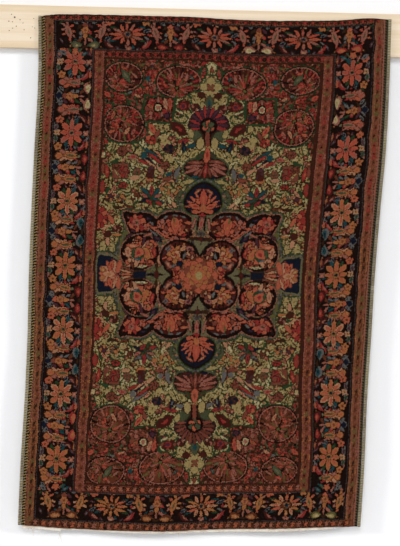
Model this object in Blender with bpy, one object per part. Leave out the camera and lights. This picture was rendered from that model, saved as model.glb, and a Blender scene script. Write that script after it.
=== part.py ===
"""A knotted Persian rug, hung by its top edge on the front of a plain wooden rail.

Metres, +Z up. The wall is the plane Y = 0, and the rug faces -Y. The origin is the centre of the rail's back
face, which is also the middle of the rug's top edge seen from in front.

The rug is one slab whose four edges and soft waves follow short tables. Its side edges carry an overcast cord
each, and under its bottom edge hangs what is left of a flat-woven cotton end with a few loose warp threads.
Pieces that touch keep a gap of GAP to each other.
"""
from math import cos, pi, sin

import bmesh
import bpy

GAP = 0.0003

# The rail
RAIL_LENGTH = 1.80
RAIL_DEPTH = 0.022
RAIL_HEIGHT = 0.160
RAIL_ROUNDING = 0.0025

# The rug: foundation and pile together
PILE_THICKNESS = 0.006
COLUMNS = 30
ROWS = 44
EDGE_CLEARANCE = 0.002          # between the rug's back and the rail's lower front edge

# The overcast cords: a flattened round section
CORD_WIDTH = 0.012
CORD_THICKNESS = 0.007
CORD_SIDES = 8

# The flat-woven end
STRIP_THICKNESS = 0.0015
STRIP_INSET = 0.0008            # how far the cotton's back lies in front of the rug's back
THREAD_LENGTHS = (0.014, 0.030, 0.020, 0.052, 0.016)
THREAD_PLACES = (0.022, 0.037, 0.058, 0.118, 0.470)     # across the rug, from its left edge
THREAD_WIDTH = 0.0030
THREAD_STEPS = 4

# The side edges, from the top of the rug (down = 0) to its bottom (down = 1)
SIDE_ROWS = (
    # down, left edge, right edge
    (0.000, -0.640, 0.642),
    (0.125, -0.635, 0.640),
    (0.250, -0.642, 0.634),
    (0.375, -0.648, 0.618),
    (0.500, -0.651, 0.604),
    (0.625, -0.651, 0.596),
    (0.750, -0.655, 0.586),
    (0.875, -0.664, 0.582),
    (1.000, -0.669, 0.573),
)

# The top and bottom edges, from the left corner (across = 0) to the right one (across = 1)
END_ROWS = (
    # across, top edge, bottom edge
    (0.00, 0.040, -1.843),
    (0.04, 0.047, -1.847),
    (0.13, 0.050, -1.853),
    (0.30, 0.050, -1.856),
    (0.43, 0.050, -1.854),
    (0.54, 0.045, -1.846),
    (0.65, 0.043, -1.839),
    (0.77, 0.047, -1.834),
    (0.86, 0.051, -1.827),
    (0.94, 0.061, -1.823),
    (1.00, 0.059, -1.819),
)

# The soft waves: each is a ridge that runs down the rug, high at the bottom and gone at the rail
WAVE_ROWS = (
    # across at the top, across at the bottom, half width, forward, down where it starts
    (-0.02, 0.00, 0.10, 0.005, 0.20),
    (0.22, 0.17, 0.11, -0.005, 0.15),
    (0.40, 0.37, 0.12, 0.006, 0.10),
    (0.58, 0.60, 0.11, -0.005, 0.12),
    (0.78, 0.80, 0.10, 0.006, 0.10),
    (1.00, 1.00, 0.08, 0.003, 0.25),
)

# Slight bows across the whole width, as a rug keeps from lying folded or rolled
BOW_ROWS = (
    # down, half height, forward
    (0.47, 0.05, 0.0015),
    (0.63, 0.05, -0.0020),
    (0.82, 0.07, 0.0020),
    (1.00, 0.05, -0.0020),
)

# How deep the cotton end still is, from its left end to its right one
STRIP_ROWS = (
    # across, depth
    (0.004, 0.011),
    (0.035, 0.008),
    (0.065, 0.009),
    (0.113, 0.010),
    (0.120, 0.005),
    (0.195, 0.004),
    (0.260, 0.006),
    (0.330, 0.007),
    (0.422, 0.007),
    (0.432, 0.004),
    (0.442, 0.008),
    (0.500, 0.008),
    (0.506, 0.006),
    (0.530, 0.009),
    (0.700, 0.010),
    (0.850, 0.009),
    (0.900, 0.007),
    (0.930, 0.005),
)


def smooth_step(start, end, value):
    """0 before start, 1 after end, and a soft S between them."""
    share = min(max((value - start) / (end - start), 0.0), 1.0)
    return share * share * (3.0 - 2.0 * share)


def slope_at(table, number, column):
    """How fast a column changes at a row, from the rows on both sides of it."""
    before = table[max(number - 1, 0)]
    after = table[min(number + 1, len(table) - 1)]
    return (after[column] - before[column]) / (after[0] - before[0])


def read_row(table, at, column):
    """A table's column at the place given by its first column, on a smooth curve through the rows."""
    at = min(max(at, table[0][0]), table[-1][0])
    number = max(index for index, row in enumerate(table[:-1]) if row[0] <= at)
    before, after = table[number], table[number + 1]
    span = after[0] - before[0]
    share = (at - before[0]) / span
    bend_out = slope_at(table, number, column) * span
    bend_in = slope_at(table, number + 1, column) * span
    ease = smooth_step(0.0, 1.0, share)
    left = share * (1.0 - share) * (1.0 - share)
    right = share * share * (1.0 - share)
    return before[column] + (after[column] - before[column]) * ease + bend_out * left - bend_in * right


def read_straight(table, at, column):
    """A table's column at a place, on straight lines between the rows."""
    for before, after in zip(table, table[1:]):
        if before[0] <= at <= after[0]:
            share = (at - before[0]) / (after[0] - before[0])
            return before[column] + (after[column] - before[column]) * share
    return table[-1][column]


def hump(distance):
    """1 in the middle of a ridge and 0 from its foot on, where distance is 1."""
    return 0.5 + 0.5 * cos(pi * distance) if abs(distance) < 1.0 else 0.0


def rug_x(across, down):
    left = read_row(SIDE_ROWS, down, 1)
    right = read_row(SIDE_ROWS, down, 2)
    return left + (right - left) * across


def rug_z(across, down):
    top = read_row(END_ROWS, across, 1)
    bottom = read_row(END_ROWS, across, 2)
    return top + (bottom - top) * down


def rug_back(across, down):
    """The Y of the rug's back: on the rail at the top, free of its lower edge, and softly waved below it."""
    height = rug_z(across, down)
    free = smooth_step(RAIL_HEIGHT * 0.3, -RAIL_HEIGHT / 2, height)
    forward = GAP + (EDGE_CLEARANCE - GAP) * free
    for top, bottom, half_width, depth, start in WAVE_ROWS:
        crest = top + (bottom - top) * down
        forward += depth * hump((across - crest) / (2.0 * half_width)) * smooth_step(start, 1.0, down)
    for place, half_height, depth in BOW_ROWS:
        forward += depth * hump((down - place) / (2.0 * half_height))
    return -RAIL_DEPTH - forward


def plain_material(name, colour, roughness):
    material = bpy.data.materials.new(name)
    material.use_nodes = True
    shader = material.node_tree.nodes["Principled BSDF"]
    shader.inputs["Base Color"].default_value = (*colour, 1.0)
    shader.inputs["Roughness"].default_value = roughness
    shader.inputs["Metallic"].default_value = 0.0
    return material


def add_object(name, shape, material):
    """Turn a bmesh into a scene object whose faces point outwards."""
    bmesh.ops.recalc_face_normals(shape, faces=shape.faces)
    mesh = bpy.data.meshes.new(name)
    shape.to_mesh(mesh)
    shape.free()
    mesh.materials.append(material)
    thing = bpy.data.objects.new(name, mesh)
    bpy.context.collection.objects.link(thing)
    return thing


def thicken(shape, thickness):
    """Push a copy of an open sheet back along Y and close the rim between the two."""
    back = bmesh.ops.extrude_face_region(shape, geom=shape.faces[:])
    moved = [item for item in back["geom"] if isinstance(item, bmesh.types.BMVert)]
    bmesh.ops.translate(shape, verts=moved, vec=(0.0, thickness, 0.0))


def make_rail():
    shape = bmesh.new()
    bmesh.ops.create_cube(shape, size=1.0)
    bmesh.ops.scale(shape, vec=(RAIL_LENGTH, RAIL_DEPTH, RAIL_HEIGHT), verts=shape.verts)
    bmesh.ops.translate(shape, vec=(0.0, -RAIL_DEPTH / 2, 0.0), verts=shape.verts)
    rail = add_object("rail", shape, plain_material("pale_pine", (0.80, 0.66, 0.47), 0.55))
    rounding = rail.modifiers.new("rounding", "BEVEL")
    rounding.width = RAIL_ROUNDING
    rounding.segments = 2
    return rail


def make_rug():
    """A grid, each point moved to its place on the hanging rug, then given the pile's thickness."""
    shape = bmesh.new()
    bmesh.ops.create_grid(shape, x_segments=COLUMNS, y_segments=ROWS, size=0.5)
    for point in shape.verts:
        across = point.co.x + 0.5
        down = 0.5 - point.co.y
        point.co = (rug_x(across, down), rug_back(across, down) - PILE_THICKNESS, rug_z(across, down))
    thicken(shape, PILE_THICKNESS)
    return add_object("rug_pile", shape, plain_material("wool_pile", (0.17, 0.07, 0.04), 0.95))


def make_selvedge(name, across, outward):
    """An overcast cord beside a side edge: a flattened round section, carried down the rug's own rows."""
    shape = bmesh.new()
    rings = []
    for row in range(ROWS + 1):
        down = row / ROWS
        middle_x = rug_x(across, down) + outward * (GAP + CORD_WIDTH / 2)
        middle_y = rug_back(across, down) - CORD_THICKNESS / 2
        ring = []
        for side in range(CORD_SIDES):
            turn = 2.0 * pi * side / CORD_SIDES
            ring.append(shape.verts.new((middle_x + cos(turn) * CORD_WIDTH / 2,
                                         middle_y + sin(turn) * CORD_THICKNESS / 2,
                                         rug_z(across, down))))
        rings.append(ring)
    for upper, lower in zip(rings, rings[1:]):
        for side in range(CORD_SIDES):
            following = (side + 1) % CORD_SIDES
            shape.faces.new((upper[side], upper[following], lower[following], lower[side]))
    shape.faces.new(rings[0])
    shape.faces.new(rings[-1])
    selvedge = add_object(name, shape, plain_material(name, (0.30, 0.26, 0.13), 0.9))
    selvedge.data.shade_smooth()
    selvedge.data.set_sharp_from_angle(angle=pi / 3)
    return selvedge


def strip_places():
    """Places across the rug where the cotton end has a row of points: the rug's columns, its own table's rows
    and both sides of each loose thread."""
    first, last = STRIP_ROWS[0][0], STRIP_ROWS[-1][0]
    half_thread = THREAD_WIDTH / 2 / (SIDE_ROWS[-1][2] - SIDE_ROWS[-1][1])
    places = [row[0] for row in STRIP_ROWS]
    for middle in THREAD_PLACES:
        places += [middle - half_thread, middle + half_thread]
    columns = [column / COLUMNS for column in range(COLUMNS + 1)]
    places += [at for at in columns if all(abs(at - place) > 2.5 * half_thread for place in places)]
    return sorted(place for place in places if first <= place <= last)


def edge_between_columns(across, read):
    """A value of the rug's bottom edge, read straight between two of its columns as the slab's own edge runs."""
    column = min(int(across * COLUMNS), COLUMNS - 1)
    share = across * COLUMNS - column
    return read(column / COLUMNS, 1.0) * (1.0 - share) + read((column + 1) / COLUMNS, 1.0) * share


def make_kilim_end():
    """The cotton strip under the pile, and the loose warp threads, drawn out of its lower edge."""
    shape = bmesh.new()
    upper, lower = [], []
    places = strip_places()
    for across in places:
        x = rug_x(across, 1.0)
        y = edge_between_columns(across, rug_back) - STRIP_INSET - STRIP_THICKNESS
        top = edge_between_columns(across, rug_z) - GAP
        upper.append(shape.verts.new((x, y, top)))
        lower.append(shape.verts.new((x, y, top - read_straight(STRIP_ROWS, across, 1))))
    for number in range(len(places) - 1):
        shape.faces.new((upper[number], upper[number + 1], lower[number + 1], lower[number]))
    thicken(shape, STRIP_THICKNESS)
    for number, (middle, length) in enumerate(zip(THREAD_PLACES, THREAD_LENGTHS)):
        draw_out_thread(shape, rug_x(middle, 1.0), length, 1.0 if number % 2 else -1.0)
    return add_object("kilim_end", shape, plain_material("cream_cotton", (0.72, 0.66, 0.56), 0.9))


def draw_out_thread(shape, middle_x, length, lean):
    """Extrude the strip's lower face at a thread's place, step by step, thinner and a little to one side."""
    shape.faces.ensure_lookup_table()
    roots = [face for face in shape.faces
             if abs(face.calc_center_median().x - middle_x) < THREAD_WIDTH * 0.2
             and face.calc_area() < THREAD_WIDTH * STRIP_THICKNESS * 2.0
             and all(abs(point.co.x - middle_x) < THREAD_WIDTH for point in face.verts)]
    tip = min(roots, key=lambda face: face.calc_center_median().z)
    for step in range(THREAD_STEPS):
        drawn = bmesh.ops.extrude_discrete_faces(shape, faces=[tip])
        tip = drawn["faces"][0]
        middle = tip.calc_center_median()
        thinner = 0.62 if step == 0 else 0.85
        for point in tip.verts:
            point.co = middle + (point.co - middle) * thinner
        sideways = lean * length * 0.10 * sin(pi * (step + 1) / THREAD_STEPS)
        bmesh.ops.translate(shape, verts=tip.verts, vec=(sideways, -lean * 0.0006, -length / THREAD_STEPS))


def main():
    for thing in list(bpy.data.objects):
        bpy.data.objects.remove(thing)
    make_rail()
    make_rug()
    make_selvedge("selvedge_left", 0.0, -1.0)
    make_selvedge("selvedge_right", 1.0, 1.0)
    make_kilim_end()


main()
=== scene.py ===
import math
import random
import bpy
import numpy as np
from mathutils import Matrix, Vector


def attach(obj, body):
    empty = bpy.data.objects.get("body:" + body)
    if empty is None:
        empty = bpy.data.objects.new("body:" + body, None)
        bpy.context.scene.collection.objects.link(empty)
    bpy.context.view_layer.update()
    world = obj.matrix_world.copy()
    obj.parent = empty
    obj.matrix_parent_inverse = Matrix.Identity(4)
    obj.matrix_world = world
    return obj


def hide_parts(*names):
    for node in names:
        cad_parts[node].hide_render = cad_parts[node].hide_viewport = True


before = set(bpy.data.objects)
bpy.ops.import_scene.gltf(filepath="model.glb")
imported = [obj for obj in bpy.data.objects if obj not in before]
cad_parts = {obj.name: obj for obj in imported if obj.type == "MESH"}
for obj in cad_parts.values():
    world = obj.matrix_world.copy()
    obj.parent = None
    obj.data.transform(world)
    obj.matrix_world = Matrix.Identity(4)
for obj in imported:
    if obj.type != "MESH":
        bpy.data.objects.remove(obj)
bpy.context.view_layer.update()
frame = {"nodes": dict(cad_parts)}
print("frame loaded:", ", ".join(frame["nodes"]))


class Value:
    # a socket; sums on it add Math nodes to its own tree
    def __init__(self, finish, socket):
        self.finish, self.socket = finish, socket

    def math(self, operation, first, second=0.0):
        return self.finish.add("ShaderNodeMath", {"operation": operation}, {0: first, 1: second})

    def __add__(self, other):
        return self.math("ADD", self, other)

    def __sub__(self, other):
        return self.math("SUBTRACT", self, other)

    def __rsub__(self, other):
        return self.math("SUBTRACT", other, self)

    def __mul__(self, other):
        return self.math("MULTIPLY", self, other)

    def __truediv__(self, other):
        return self.math("DIVIDE", self, other)

    def __mod__(self, other):
        return self.math("FLOORED_MODULO", self, other)

    def __lt__(self, other):
        return self.math("LESS_THAN", self, other)

    def __gt__(self, other):
        return self.math("GREATER_THAN", self, other)

    def floor(self):
        return self.math("FLOOR", self)

    def fraction(self):
        return self.math("FRACT", self)

    def sine(self):
        return self.math("SINE", self)

    __radd__ = __add__
    __rmul__ = __mul__


class Finish:
    # a material with one Principled shader; constants go straight on its sockets
    def __init__(self, name, constants):
        self.material = bpy.data.materials.new(name)
        self.material.use_nodes = True
        self.tree = self.material.node_tree
        self.shader = self.tree.nodes["Principled BSDF"]
        for socket, value in constants.items():
            self.shader.inputs[socket].default_value = value

    def add(self, kind, settings, inputs, output=0):
        node = self.tree.nodes.new(kind)
        for name, value in settings.items():
            if name == "stops":
                ramp = node.color_ramp
                for number, (place, colour) in enumerate(value):
                    stop = ramp.elements[number] if number < 2 else ramp.elements.new(place)
                    stop.position = place
                    stop.color = (*colour, 1.0)
            elif name == "interpolation" and kind == "ShaderNodeValToRGB":
                node.color_ramp.interpolation = value
            else:
                setattr(node, name, value)
        for name, value in inputs.items():
            if isinstance(value, Value):
                self.tree.links.new(value.socket, node.inputs[name])
            else:
                node.inputs[name].default_value = value
        return Value(self, node.outputs[output])

    def mix(self, share, first, second):
        first, second = ((*c, 1.0) if isinstance(c, tuple) else c for c in (first, second))
        return self.add("ShaderNodeMix", {"data_type": "RGBA"}, {"Factor": share, 6: first, 7: second}, 2)

    def noise(self, place, scale, detail, roughness):
        return self.add("ShaderNodeTexNoise", {}, {"Vector": place, "Scale": scale, "Detail": detail,
                                                   "Roughness": roughness}, "Fac")

    def axis(self, vector, name):
        return self.add("ShaderNodeSeparateXYZ", {}, {0: vector}, name)

    def bump(self, height, strength, distance):
        return self.add("ShaderNodeBump", {}, {"Strength": strength, "Distance": distance, "Height": height})

    def spread(self, value, low, high):
        # goes smoothly from 0 to 1 while the value goes from low to high
        return self.add("ShaderNodeMapRange", {"interpolation_type": "SMOOTHSTEP"},
                        {"Value": value, "From Min": low, "From Max": high})

    def objectPlace(self, stretch=(1.0, 1.0, 1.0)):
        place = self.add("ShaderNodeTexCoord", {}, {}, "Object")
        return self.add("ShaderNodeMapping", {}, {"Vector": place, "Scale": stretch})

    def wear(self, **links):
        for socket, value in links.items():
            self.tree.links.new(value.socket, self.shader.inputs[socket.replace("_", " ")])
        return self.material


def linear(red, green, blue, light=1.0):
    # a colour as it looks, 0 to 255, to the colour a shader takes
    return tuple(light * ((c / 255 + 0.055) / 1.055) ** 2.4 for c in (red, green, blue))


# Wools in the order of their numbers on the chart, red, green and blue from 0 to 255 as they look
wools = {
    "night": (17, 19, 29), "soot": (22, 10, 6), "wine": (58, 21, 16), "crimson": (117, 38, 33),
    "brick": (101, 51, 38), "rust": (79, 40, 24), "coral": (143, 72, 50), "amber": (136, 84, 48),
    "peach": (148, 104, 76), "gold": (134, 114, 72), "olive": (76, 70, 36), "forest": (36, 50, 28),
    "sage": (88, 80, 56), "teal": (26, 54, 54), "slate": (82, 78, 74), "cream": (152, 136, 98),
    "plum": (62, 33, 37), "rose": (126, 76, 62), "umber": (45, 26, 14), "moss": (60, 62, 42),
    "clay": (104, 63, 42), "smoke": (56, 48, 46), "scarlet": (140, 61, 45),
}

# Centimetres across and down the pile, and the knots in each direction
chartSize = {"wide": 128.0, "high": 190.0, "columns": 528, "rows": 780}
fieldPlan = {"left": 24.0, "top": 16.3, "right": 101.8, "bottom": 172.8, "axis": 62.8, "middle": 95.4}


class KnotChart:
    def __init__(self):
        self.knots = np.zeros((chartSize["rows"], chartSize["columns"]), int)
        self.x = (np.arange(chartSize["columns"]) + 0.5) * chartSize["wide"] / chartSize["columns"]
        self.y = (np.arange(chartSize["rows"]) + 0.5) * chartSize["high"] / chartSize["rows"]
        self.number = {wool: number for number, wool in enumerate(wools)}
        self.open = np.ones(self.knots.shape, bool)

    def within(self, left, top, right, bottom):
        across = (self.x > left) & (self.x < right)
        down = (self.y > top) & (self.y < bottom)
        self.open = down[:, None] & across[None, :]

    def tie(self, where, inside, wool):
        self.knots[where][inside & self.open[where]] = self.number[wool]

    def inside(self, left, top, right, bottom):
        # the knots of a rectangle, and their places across and down
        rows = slice(*np.searchsorted(self.y, (top, bottom)))
        columns = slice(*np.searchsorted(self.x, (left, right)))
        return (rows, columns), self.x[columns][None, :], self.y[rows][:, None]

    def around(self, x, y, reach, turn=0.0, flip=1.0):
        # the knots near a place, and where they lie along and across a line through it
        where, across, down = self.inside(x - reach, y - reach, x + reach, y + reach)
        dx, dy = across - x, down - y
        c, s = math.cos(turn), math.sin(turn)
        return where, dx * c + dy * s, (dy * c - dx * s) * flip

    def box(self, left, top, right, bottom, wool):
        self.tie(self.inside(left, top, right, bottom)[0], True, wool)


# Each shape says which knots lie inside it: p and q run from -1 to 1 along and across it
def leafShape(p, q, bend=0.0, blunt=2.0):
    return (np.abs(q - bend * (1.0 - p * p)) < 1.0 - np.abs(p) ** blunt) & (np.abs(p) < 1.0)


def flowerShape(p, q, petals, depth):
    turn = np.arctan2(q, p)
    return np.hypot(p, q) < 1.0 - depth * (1.0 - np.abs(np.cos(petals * turn / 2.0)))


def budShape(p, q):
    share = np.clip((p + 1.0) / 2.0, 0.0, 1.0)
    return (np.abs(q) < np.sin(math.pi * share ** 0.65)) & (np.abs(p) < 1.0)


def palmetteShape(p, q):
    turn = np.arctan2(q, p)
    return np.hypot(p, q) < (0.86 + 0.14 * np.cos(turn)) * (0.88 + 0.12 * np.cos(11.0 * turn))


# How each kind is drawn, and how far it bends in shares of its half width
shapes = {
    "leaf": (leafShape, 0.0),
    "petal": (lambda p, q: leafShape(p, q, 0.0, 3.4), 0.0),
    "curl": (lambda p, q: leafShape(p, q, 0.8), 0.8),
    "sickle": (lambda p, q: leafShape(p, q, 1.9), 1.9),
    "oval": (lambda p, q: np.hypot(p, q) < 1.0, 0.0),
    "block": (lambda p, q: (np.abs(p) < 1.0) & (np.abs(q) < 1.0), 0.0),
    "diamond": (lambda p, q: np.abs(p) + np.abs(q) < 1.0, 0.0),
    "bud": (budShape, 0.0),
    "palmette": (palmetteShape, 0.0),
    "flower4": (lambda p, q: flowerShape(p, q, 4, 0.55), 0.0),
    "flower5": (lambda p, q: flowerShape(p, q, 5, 0.40), 0.0),
    "flower6": (lambda p, q: flowerShape(p, q, 6, 0.30), 0.0),
    "flower8": (lambda p, q: flowerShape(p, q, 8, 0.25), 0.0),
}
# A heart's size in shares of its motif, and how far an edge stands out from the motif in cm
heartShare = {"leaf": 0.42, "petal": 0.45, "curl": 0.45, "sickle": 0.5, "oval": 0.66, "bud": 0.42,
              "palmette": 0.5, "flower4": 0.36, "flower5": 0.4, "flower6": 0.4, "flower8": 0.45,
              "block": 0.5, "diamond": 0.5}
edgeWidth = 0.26
# How a rose or a fan is put together: its opening in degrees, and its petals in shares of its radius
fan = {"opening": 205.0, "middle": 0.52, "length": 0.98, "fatness": 0.72}


class Placement:
    # carries a motif's own place to the rug: turned, mirrored or both
    def __init__(self, pivot, target, along, across):
        self.pivot, self.target = pivot, target
        self.along, self.across = along, across

    def place(self, x, y):
        u, v = x - self.pivot[0], y - self.pivot[1]
        return (self.target[0] + u * self.along[0] + v * self.across[0],
                self.target[1] + u * self.along[1] + v * self.across[1])

    def turn(self, degrees):
        c, s = math.cos(math.radians(degrees)), math.sin(math.radians(degrees))
        return math.atan2(c * self.along[1] + s * self.across[1], c * self.along[0] + s * self.across[0])

    def flip(self):
        return self.along[0] * self.across[1] - self.along[1] * self.across[0]


straight = Placement((0.0, 0.0), (0.0, 0.0), (1.0, 0.0), (0.0, 1.0))


def drawShape(chart, kind, x, y, length, width, turn, wool, flip=1.0, edge=None, heart=None):
    inside, bend = shapes[kind]
    reach = max(length, width * (1.0 + bend)) * 0.75 + 0.6
    where, p, q = chart.around(x, y, reach, turn, flip)
    if edge:
        chart.tie(where, inside(p / (length / 2 + edgeWidth), q / (width / 2 + edgeWidth)), edge)
    chart.tie(where, inside(p / (length / 2), q / (width / 2)), wool)
    if heart:
        share = heartShare[kind]
        chart.tie(where, inside(p / (length / 2 * share), q / (width / 2 * share)), heart)


def drawFan(chart, kind, x, y, length, width, turn, wool, flip=1.0, edge=None, heart=None):
    # petals from one place, every second one in the heart's wool: rose8 has eight all round it
    count = int(kind.lstrip("rosefan"))
    allRound = kind.startswith("rose")
    first = 0.0 if allRound else -fan["opening"] / 2
    step = 360.0 / count if allRound else fan["opening"] / (count - 1)
    c, s = math.cos(turn), math.sin(turn)
    for number in range(count):
        tilt = math.radians(first + step * number)
        u, v = math.cos(tilt) * length / 2, math.sin(tilt) * width / 2 * flip
        size = math.hypot(u, v)
        px, py = x + (u * c - v * s) * fan["middle"], y + (u * s + v * c) * fan["middle"]
        fat = math.radians(step) * size * fan["fatness"]
        drawShape(chart, "petal", px, py, size * fan["length"], fat, math.atan2(v, u) + turn,
                  heart if number % 2 and heart else wool, flip, edge)


def drawRow(chart, row, placement=straight, swap=None):
    # a row's wool is followed by that of its edge and that of its heart, where it has them
    kind, x, y, length, width, turn, *dyes = row
    dyes = [swap.get(dye, dye) if swap else dye for dye in dyes]
    wool, edge, heart = (dyes + [None, None])[:3]
    px, py = placement.place(x, y)
    draw = drawFan if kind.startswith(("rose", "fan")) else drawShape
    draw(chart, kind, px, py, length, width, placement.turn(turn), wool, placement.flip(), edge, heart)


def drawRows(chart, rows, placements, swaps=(None,)):
    for number, placement in enumerate(placements):
        for row in rows:
            drawRow(chart, row, placement, swaps[number % len(swaps)])


def smooth(points, closed, steps=5):
    # a smooth line through a few places
    points = np.array(points, float)
    if closed:
        points = np.vstack([points[-1:], points, points[:2]])
    else:
        points = np.vstack([2 * points[0] - points[1], points, 2 * points[-1] - points[-2]])
    s = (np.arange(steps) / steps)[:, None]
    path = []
    for a, b, c, d in zip(points, points[1:], points[2:], points[3:]):
        square, cube = 2 * a - 5 * b + 4 * c - d, 3 * b - a - 3 * c + d
        path.append(0.5 * (2 * b + (c - a) * s + square * s ** 2 + cube * s ** 3))
    return np.vstack(path + [points[-2:-1]])


def drawStem(chart, points, width, wool, placement=straight):
    path = smooth([placement.place(*point) for point in points], False)
    where, x, y = chart.inside(*(path.min(0) - width), *(path.max(0) + width))
    inside = np.zeros(np.broadcast(x, y).shape, bool)
    for start, end in zip(path, path[1:]):
        run = end - start
        share = ((x - start[0]) * run[0] + (y - start[1]) * run[1]) / max(float(run @ run), 1e-9)
        share = np.clip(share, 0.0, 1.0)
        inside |= np.hypot(x - start[0] - share * run[0], y - start[1] - share * run[1]) < width / 2
    chart.tie(where, inside, wool)


def drawPatch(chart, corners, wool, grow=0.0, placement=straight, rounded=True):
    # a filled outline, grown outwards on all sides
    corners = np.array([placement.place(*corner) for corner in corners])
    if rounded:
        corners = smooth(corners, True, 4)[:-1]
    if grow:
        ahead = np.roll(corners, -1, 0) - np.roll(corners, 1, 0)
        out = np.stack([ahead[:, 1], -ahead[:, 0]], 1)
        out = out / np.maximum(np.linalg.norm(ahead, axis=1), 1e-6)[:, None]
        after = np.roll(corners, -1, 0)
        area = np.sum(corners[:, 0] * after[:, 1] - after[:, 0] * corners[:, 1])
        corners = corners + out * grow * (1.0 if area > 0 else -1.0)
    where, x, y = chart.inside(*corners.min(0), *corners.max(0))
    inside = np.zeros(np.broadcast(x, y).shape, bool)
    for (xa, ya), (xb, yb) in zip(corners, np.roll(corners, -1, 0)):
        if ya != yb:
            inside ^= ((ya > y) != (yb > y)) & (x < (xb - xa) * (y - ya) / (yb - ya) + xa)
    chart.tie(where, inside, wool)


def drawRings(chart, corners, rings, placement=straight):
    # one outline in several wools, one inside the other
    for grow, wool in rings:
        drawPatch(chart, corners, wool, grow, placement)


# Bands from the edge inwards: wool, and how far in each begins from the left, top, right and bottom
bands = (
    ("rose", 0.0, 0.0, 0.0, 0.0), ("umber", 1.35, 0.0, 1.6, 0.0), ("clay", 1.6, 0.2, 1.85, 0.0),
    ("soot", 4.65, 1.9, 5.0, 2.6), ("smoke", 5.1, 2.15, 5.5, 2.85), ("soot", 5.4, 2.4, 5.8, 3.15),
    ("soot", 5.7, 2.7, 6.3, 3.5), ("smoke", 18.8, 12.6, 20.0, 13.3), ("umber", 19.1, 12.9, 20.4, 13.6),
    ("wine", 19.5, 13.1, 20.9, 13.8), ("brick", 19.95, 13.4, 21.4, 14.1),
    ("umber", 23.1, 15.65, 24.8, 16.6), ("wine", 23.45, 15.9, 25.25, 16.85),
    ("umber", 23.75, 16.05, 25.7, 17.05),
)
# Guard stripes: the line they run along, how wide they are, their ends and which way they run
guards = (
    (3.15, 2.9, 2.6, 187.2, "down"), (124.6, 3.1, 2.6, 187.2, "down"), (1.0, 1.7, 3.4, 124.6, "across"),
    (188.6, 2.6, 3.4, 124.6, "across"), (21.5, 3.1, 13.6, 175.7, "down"), (104.9, 3.3, 13.6, 175.7, "down"),
    (14.5, 2.2, 23.2, 103.2, "across"), (174.6, 2.5, 23.2, 103.2, "across"),
)
guardRows = (
    # kind, along in shares of the pitch, across, length and width in shares of the stripe's width, turn,
    # wool, and where they have them the wools of their edge and heart
    ("leaf", 0.00, -0.46, 1.2, 0.10, 0, "rose"), ("leaf", 0.00, 0.46, 1.2, 0.10, 0, "rose"),
    ("flower4", 0.50, 0.00, 0.74, 0.66, 45, "brick"), ("oval", 0.50, 0.00, 0.24, 0.20, 0, "clay"),
    ("curl", 0.06, -0.12, 0.66, 0.22, 0, "rust"), ("curl", -0.06, 0.16, 0.62, 0.20, 180, "rust"),
    ("leaf", 0.02, 0.02, 0.30, 0.16, 90, "umber"), ("leaf", 0.28, -0.28, 0.30, 0.09, 30, "amber"),
    ("leaf", 0.28, 0.28, 0.30, 0.09, -30, "rose"), ("leaf", -0.28, -0.28, 0.26, 0.09, -30, "amber"),
    ("leaf", -0.28, 0.28, 0.26, 0.09, 30, "rose"),
)
# The same for the stripes along the top and bottom: a cross, a dark rosette and small leaves between them
acrossRows = (
    ("flower4", 0.25, 0.0, 0.66, 0.82, 45, "rose", "umber", "wine"),
    ("oval", 0.25, 0.0, 0.16, 0.20, 0, "amber"),
    ("flower4", -0.25, 0.0, 0.50, 0.62, 0, "rust", "soot", "umber"),
    ("leaf", 0.0, 0.40, 0.40, 0.14, 0, "umber"), ("leaf", 0.0, -0.40, 0.40, 0.14, 0, "umber"),
    ("leaf", 0.5, 0.0, 0.30, 0.14, 90, "umber"),
)
guardSwaps = (None, {"amber": "rose", "rust": "crimson", "brick": "crimson"},
              {"brick": "rust", "rust": "umber", "rose": "amber"},
              {"brick": "olive", "umber": "soot", "rose": "clay"})
# The pitch of a guard's motifs in shares of its width, and the width in cm that counts at least
guardPlan = {"pitch": 1.06, "least": 2.6}


def drawGuards(chart):
    dice = random.Random(3)
    for line, width, start, end, way in guards:
        down = way == "down"
        scale = max(width, guardPlan["least"])
        count = round((end - start) / (guardPlan["pitch"] * scale))
        pitch = (end - start) / count
        turned = ((0.0, 1.0), (1.0, 0.0)) if down else ((1.0, 0.0), (0.0, 1.0))
        for number in range(count):
            along = start + (number + 0.5) * pitch
            target = (line, along) if down else (along, line)
            placement = Placement((0.0, 0.0), target, *turned)
            # the wools change by chance along the sides, redder above, and in turn along the ends
            swap = guardSwaps[dice.choice((0, 0, 1, 1, 3) if target[1] < 85.0 else (0, 0, 2, 2, 3))]
            if not down:
                swap = {"rose": "coral"} if number % 2 else None
                if line < fieldPlan["middle"]:
                    swap = {"rose": "crimson", "rust": "wine", "amber": "scarlet"}
            for kind, u, v, length, wide, turn, *dyes in (guardRows if down else acrossRows):
                row = (kind, u * pitch, v * width, length * scale, wide * width, turn, *dyes)
                drawRow(chart, row, placement, swap)


teeth = {"pitch": 1.05, "band": 1.15, "line": 0.45, "width": 0.60}


def drawDogTooth(chart):
    # slanted teeth beside the cords, and a pink line along the right ones
    wide, high, band = chartSize["wide"], chartSize["high"], teeth["band"]
    chart.box(0.0, 0.0, band, high, "gold")
    chart.box(wide - band, 0.0, wide, high, "sage")
    chart.box(wide - band - teeth["line"], 0.0, wide - band, high, "rose")
    for number in range(int(high / teeth["pitch"]) + 1):
        y = (number + 0.5) * teeth["pitch"]
        drawRow(chart, ("block", 0.55, y, 1.3, teeth["width"], -20, "soot"))
        drawRow(chart, ("block", wide - 0.58, y, 1.2, teeth["width"], 24, "soot"))


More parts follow.
